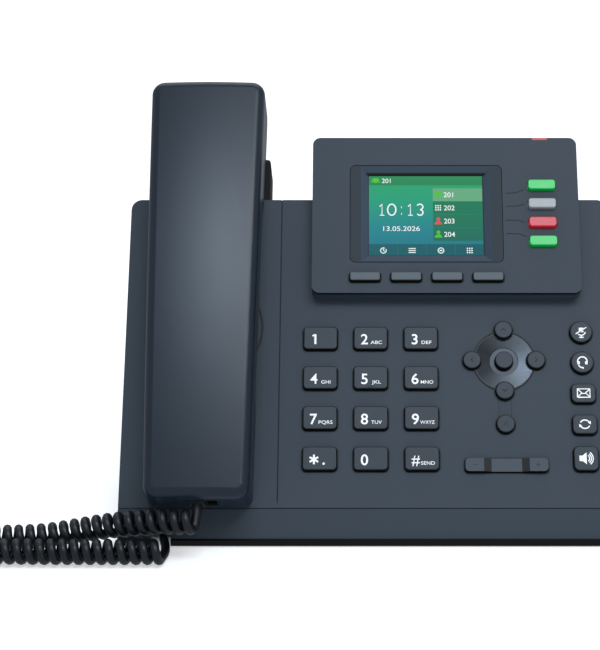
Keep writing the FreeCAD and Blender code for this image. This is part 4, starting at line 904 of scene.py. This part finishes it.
def keyGapShade(name, outline, x, v, w=0.0):
    width, height, corner = gapShadeSet["outlines"][outline]
    dx, dy = (width + gapShadeSet["reach"]) / 2 - corner, (height + gapShadeSet["reach"]) / 2 - corner
    points = []
    for quarter, (cx, cy) in enumerate([(dx, dy), (-dx, dy), (-dx, -dy), (dx, -dy)]):
        points += arc(cx, cy, corner, 90 * quarter, 90 * (quarter + 1), steps=gapShadeSet["cornerSteps"])
    strokes(name, [(gapShadeSet["line"], points + points[:1])], x, v, w, "base", "blackInk")


for index in range(len(dialSet["keys"])):
    keyGapShade(f"dialGap_{index}", "dial", *dialPlace(index))
for index in range(4):
    x = gapShadeSet["softX"] + gapShadeSet["softStep"] * (index - 1.5)
    keyGapShade(f"softGap_{index}", "soft", x, gapShadeSet["softV"], signSet["headTop"])
for name, (v, lines, outline) in sideSigns.items():
    keyGapShade("sideGap_" + name, outline, signSet["sideX"], v)
keyGapShade("rockerGap", "rocker", navX, signSet["rockerV"])
keyGapShade("cancelGap", "round", navX, signSet["cancelV"])
for name, (x, v) in navPlaces.items():
    keyGapShade("navGap_" + name, "round", x, v, gapShadeSet["navLift"])
# painted shade: a dark ring in the speaker grille's rim groove
rim = [(0.4, arc(0, 0, signSet["speakerRim"], 0, 360, steps=signSet["circleSteps"]))]
strokes("speakerRim", rim, *signSet["speaker"], 0.0, "base", "blackInk")
print("signs laid")

# grip ribs on the stand's rear plate
standSet = {"ribs": 9, "pitch": 5.0, "length": 84.0, "rib": 0.9, "broad": 1.6, "round": 0.4, "lift": 6.0}
rear = max((p for p in nodes["stand"].data.polygons if p.normal.y > 0.6), key=lambda p: p.area)
outward = rear.normal.copy()
across = Vector((-1, 0, 0))
upward = outward.cross(across)
middle = outward * outward.dot(rear.center)
middle += upward * (upward.dot(rear.center) + standSet["lift"] * mm)
deselect()
bpy.ops.mesh.primitive_cube_add(size=1)
ribs = bpy.context.object
rib = standSet["rib"] * mm
ribs.data.transform(Matrix.Diagonal((standSet["length"] * mm, rib * standSet["broad"], rib, 1)))
start = -(standSet["ribs"] - 1) / 2 * standSet["pitch"] * mm
ribs.data.transform(Matrix.Translation((0, start, 0)))
rounding = ribs.modifiers.new("rounding", "BEVEL")
rounding.width = rib * standSet["round"]
rounding.segments = 3
repeat = ribs.modifiers.new("repeat", "ARRAY")
repeat.count = standSet["ribs"]
repeat.use_relative_offset = False
repeat.use_constant_offset = True
repeat.constant_offset_displace = (0, standSet["pitch"] * mm, 0)
for name in ("rounding", "repeat"):
    bpy.ops.object.modifier_apply(modifier=name)
turned = Matrix((across, upward, outward)).transposed().to_4x4()
settle(ribs, "standRibs", "base", "basePlastic", Matrix.Translation(middle) @ turned)
print("stand ribbed")


# picture on the display: sheets of lit pixels with generic contents
display = {
    "x": 24.0,
    "v": 125.78,
    "w": 4.72,
    "width": 48.2,
    "height": 36.2,
    "step": 0.04,  # between layers of the picture
    "lowZ": 0.0985,  # m, where the colours start and end
    "highZ": 0.1266,
    "glow": 0.8,
    "textGlow": 1.0,
    "statusBottom": 13.9,
    "statusMiddle": 16.0,
    "barTop": -13.1,
    "barMiddle": -16.0,
    # width of the painted shadow along the picture's right edge
    "mask": 0.25,
    "split": 0.06,
    "bold": 0.004,
}
pictures = {  # colours up the screen
    "pixelField": [(0.0, "1C7C97"), (0.35, "22939B"), (0.7, "27AE86"), (1.0, "2FB573")],
    "pixelTop": [(0.0, "1F8A5C"), (0.9, "2B955F"), (1.0, "2F9A62")],
    "pixelLight": [(0.0, "6CBF98"), (1.0, "72BB8C")],
    "pixelRow": [(0.0, "1A7066"), (0.5, "1A8462"), (1.0, "1C8C5E")],
    "pixelBar": [(0.0, "106670"), (1.0, "187078")],
    "pixelLine": [(0.0, "2C8A86"), (1.0, "3F9A7F")],
    "pixelWhite": [(0.0, "F2FBF8"), (1.0, "F6FDFA")],
    "pixelGreen": [(0.0, "4FD12B"), (1.0, "5BDA30")],
    "pixelRed": [(0.0, "E35A66"), (1.0, "EE6670")],
}
for name, stops in pictures.items():
    glow = display["textGlow"] if name == "pixelWhite" else display["glow"]
    finishes[name] = pixelFinish(name, stops, glow)


# a sheet from left to right and bottom to top, in mm on the screen, at a layer above the glass
def pixelSheet(name, left, bottom, right, top, layer, finish):
    deselect()
    bpy.ops.mesh.primitive_plane_add(size=1)
    piece = bpy.context.object
    bpy.ops.object.mode_set(mode="EDIT")
    bpy.ops.mesh.select_all(action="SELECT")
    bpy.ops.mesh.extrude_region_move(TRANSFORM_OT_translate={"value": (0, 0, display["step"] * 0.8)})
    bpy.ops.mesh.select_all(action="SELECT")
    bpy.ops.mesh.normals_make_consistent(inside=False)
    bpy.ops.object.mode_set(mode="OBJECT")
    piece.data.transform(Matrix.Translation((0.5, 0.5, 0)))
    piece.data.transform(Matrix.Diagonal(((right - left) * mm, (top - bottom) * mm, mm, 1)))
    corner = faceMatrix(
        display["x"] + left, display["v"] + bottom, display["w"] + layer * display["step"]
    )
    settle(piece, name, "base", finish, corner)


def screenText(name, text, height, x, v, bold=0.0, align="CENTER", width=None):
    w = display["w"] + 3 * display["step"]
    x, v = display["x"] + x, display["v"] + v
    letters(name, text, height, x, v, w, "base", "pixelWhite", bold, align, width)


def screenSign(name, lines, x, v, finish):
    w = display["w"] + 3.5 * display["step"]
    strokes(name, lines, display["x"] + x, display["v"] + v, w, "base", finish)


halfW, halfH = display["width"] / 2, display["height"] / 2
pixelSheet("pictureField", -halfW, -halfH, halfW, halfH, 0, "pixelField")
pixelSheet("pictureTop", -halfW, display["statusBottom"], halfW, halfH, 1, "pixelTop")
pixelSheet("pictureBar", -halfW, -halfH, halfW, display["barTop"], 1, "pixelBar")
# painted shadow of the bezel's inner wall along the picture's right edge
pixelSheet("maskRight", halfW - display["mask"], -halfH, halfW, halfH, 2, "blackInk")
personLines = [(0, arc(0, 0.85, 0.85, 0, 360)), (0, arc(0, -1.55, 1.6, 0, 180, 0.95))]
dots = (-0.95, 0, 0.95)
dotGrid = [(0, arc(x, y, 0.33, 0, 360, steps=8)) for x in dots for y in dots]
phoneLines = [
    (0.5, arc(0, -0.9, 1.6, 35, 145)),
    (0.62, [(-1.35, -0.3), (-1.2, -0.75)]),
    (0.62, [(1.35, -0.3), (1.2, -0.75)]),
    (0, arc(0, -0.35, 0.75, 0, 360)),
]
rowSigns = [
    ("pixelGreen", phoneLines),
    ("pixelWhite", dotGrid),
    ("pixelRed", personLines),
    ("pixelGreen", personLines),
]
rowSet = {"left": 2.9, "top": 12.5, "pitch": 6.05, "gap": 0.12, "sign": 2.2, "text": 4.6, "height": 2.3}
for index, (finish, lines) in enumerate(rowSigns):
    top = rowSet["top"] - rowSet["pitch"] * index
    sheetFinish = "pixelLight" if index == 0 else "pixelRow"
    left, bottom = rowSet["left"], top - rowSet["pitch"] + rowSet["gap"]
    pixelSheet(f"pictureRow_{index}", left, bottom, halfW, top, 1, sheetFinish)
    middle = (top + bottom) / 2
    screenSign(f"rowSign_{index}", lines, left + rowSet["sign"], middle, finish)
    place = (rowSet["height"], left + rowSet["text"], middle)
    screenText(f"rowText_{index}", f"20{index + 1}", *place, display["bold"], "LEFT")
for index in range(1, 4):
    x, half = -halfW + display["width"] / 4 * index, display["split"]
    pixelSheet(f"pictureSplit_{index}", x - half, -halfH, x + half, display["barTop"], 2, "pixelLine")
# clock digits in thin strokes, each with its place from the middle of the clock
clockSet = {"x": -10.4, "v": 2.6, "half": 2.55, "line": 0.29, "dot": 0.4, "dateV": -6.0, "dateWidth": 15.4}
half, thin = clockSet["half"], clockSet["line"]
one = [(-0.85, half * 0.55), (0.1, half), (0.1, -half), (-0.85, -half), (1.05, -half)]
zero = [(x * 0.68, y) for x, y in arc(0, 0, half, 0, 360, steps=28)]
three = arc(-0.2, half / 2, half / 2, 150, -80) + arc(-0.2, -half / 2, half / 2, 80, -150)
colon = [(clockSet["dot"], [(-0.15, y), (0.15, y)]) for y in (1.1, -1.9)]
clockDigits = [
    (-8.3, [(thin, one)]),
    (-4.1, [(thin, zero)]),
    (0.0, colon),
    (3.7, [(thin, one)]),
    (8.0, [(thin, three)]),
]
for index, (x, lines) in enumerate(clockDigits):
    screenSign(f"clockDigit_{index}", lines, clockSet["x"] + x, clockSet["v"], "pixelWhite")
datePlace = (clockSet["x"], clockSet["dateV"])
screenText("dateText", "13.05.2026", 2.2, *datePlace, width=clockSet["dateWidth"])
screenText("statusText", "201", 2.1, -18.6, display["statusMiddle"], display["bold"], "LEFT")
screenSign("statusSign", phoneLines, -21.3, display["statusMiddle"], "pixelGreen")
barSigns = [
    [(0.2, arc(0, 0, 1.2, 60, 390)), (0.2, [(0, 0.8), (0, 0), (0.6, -0.3)])],
    [(0.2, [(-1.5, y), (1.5, y)]) for y in (-0.9, 0, 0.9)],
    [(0.2, arc(0, 0, 1.2, 0, 360)), (0.28, [(-0.6, 0), (0.6, 0)])],
    dotGrid,
]
for index, lines in enumerate(barSigns):
    x = -halfW + display["width"] / 4 * (index + 0.5)
    screenSign(f"barSign_{index}", lines, x, display["barMiddle"], "pixelWhite")
print("display lit")

# floor, soft studio light
stageSet = {
    "floor": 9.0,
    "floorGlow": 0.52,
    "clearX": (0.09, 0.1),  # from the middle, where the floor's glow sets in
    "clearY": (0.055, 0.066),
    "sky": 0.45,
    "boxes": [  # place, aim, size, power and colour
        ("softBoxHigh", (-0.10, -0.475, 1.0), (-0.068, -0.01, 0.09), (0.17, 0.20), 1.7, (0.66, 0.83, 1.0)),
        ("softBoxSide", (0.35, -0.55, 1.2), (0, 0, 0.08), (0.7, 0.5), 5.6, (0.88, 0.94, 1.0)),
        ("softBoxBack", (0.0, 0.75, 1.2), (0, 0.1, 0.05), (1.4, 0.7), 5.0, (0.9, 0.95, 1.0)),
    ],
    "skyColour": (0.86, 0.93, 1.0, 1),
}


def studioFloor():
    deselect()
    bpy.ops.mesh.primitive_plane_add(size=stageSet["floor"])
    floor = bpy.context.object
    floor.name = "studioFloor"
    made = Finish("paperFloor")
    soft = made.noise(6, 2)
    paper = made.mix(soft, (0.88, 0.88, 0.88, 1), (0.91, 0.91, 0.91, 1))
    made.set(Base_Color=paper, Roughness=0.9)
    # the paper glows faintly to stay evenly bright, but not under the phone, where the floor is left dark as
    # painted shade
    place = made.objectPlace()
    aside = made.add("ShaderNodeVectorMath", {"operation": "ABSOLUTE"}, {0: place})
    sideways = made.add("ShaderNodeSeparateXYZ", None, {0: aside}, out="X")
    deep = made.add("ShaderNodeSeparateXYZ", None, {0: aside}, out="Y")
    startX, fullX = stageSet["clearX"]
    startY, fullY = stageSet["clearY"]
    clearX = made.add("ShaderNodeMapRange", None, {0: sideways, 1: startX, 2: fullX})
    clearY = made.add("ShaderNodeMapRange", None, {0: deep, 1: startY, 2: fullY})
    clear = 1 - (1 - clearX) * (1 - clearY)
    made.set(Emission_Color=made.mix(clear, (0, 0, 0, 1), (1, 1, 1, 1)))
    made.set(Emission_Strength=stageSet["floorGlow"])
    floor.data.materials.append(made.material)
    floor.visible_glossy = False


def softBox(name, place, aim, size, power, colour):
    deselect()
    bpy.ops.object.light_add(type="AREA", location=place)
    lamp = bpy.context.object
    lamp.name = name
    lamp.data.shape = "RECTANGLE"
    lamp.data.size, lamp.data.size_y = size
    lamp.data.energy = power
    lamp.data.color = colour
    lamp.rotation_euler = (Vector(aim) - Vector(place)).to_track_quat("-Z", "Y").to_euler()


studioFloor()
for box in stageSet["boxes"]:
    softBox(*box)
world = bpy.data.worlds.new("studioWorld")
world.use_nodes = True
sky = world.node_tree.nodes["Background"]
sky.inputs["Color"].default_value = stageSet["skyColour"]
sky.inputs["Strength"].default_value = stageSet["sky"]
bpy.context.scene.world = world
bpy.context.scene.view_settings.view_transform = "Standard"
print("stage lit")
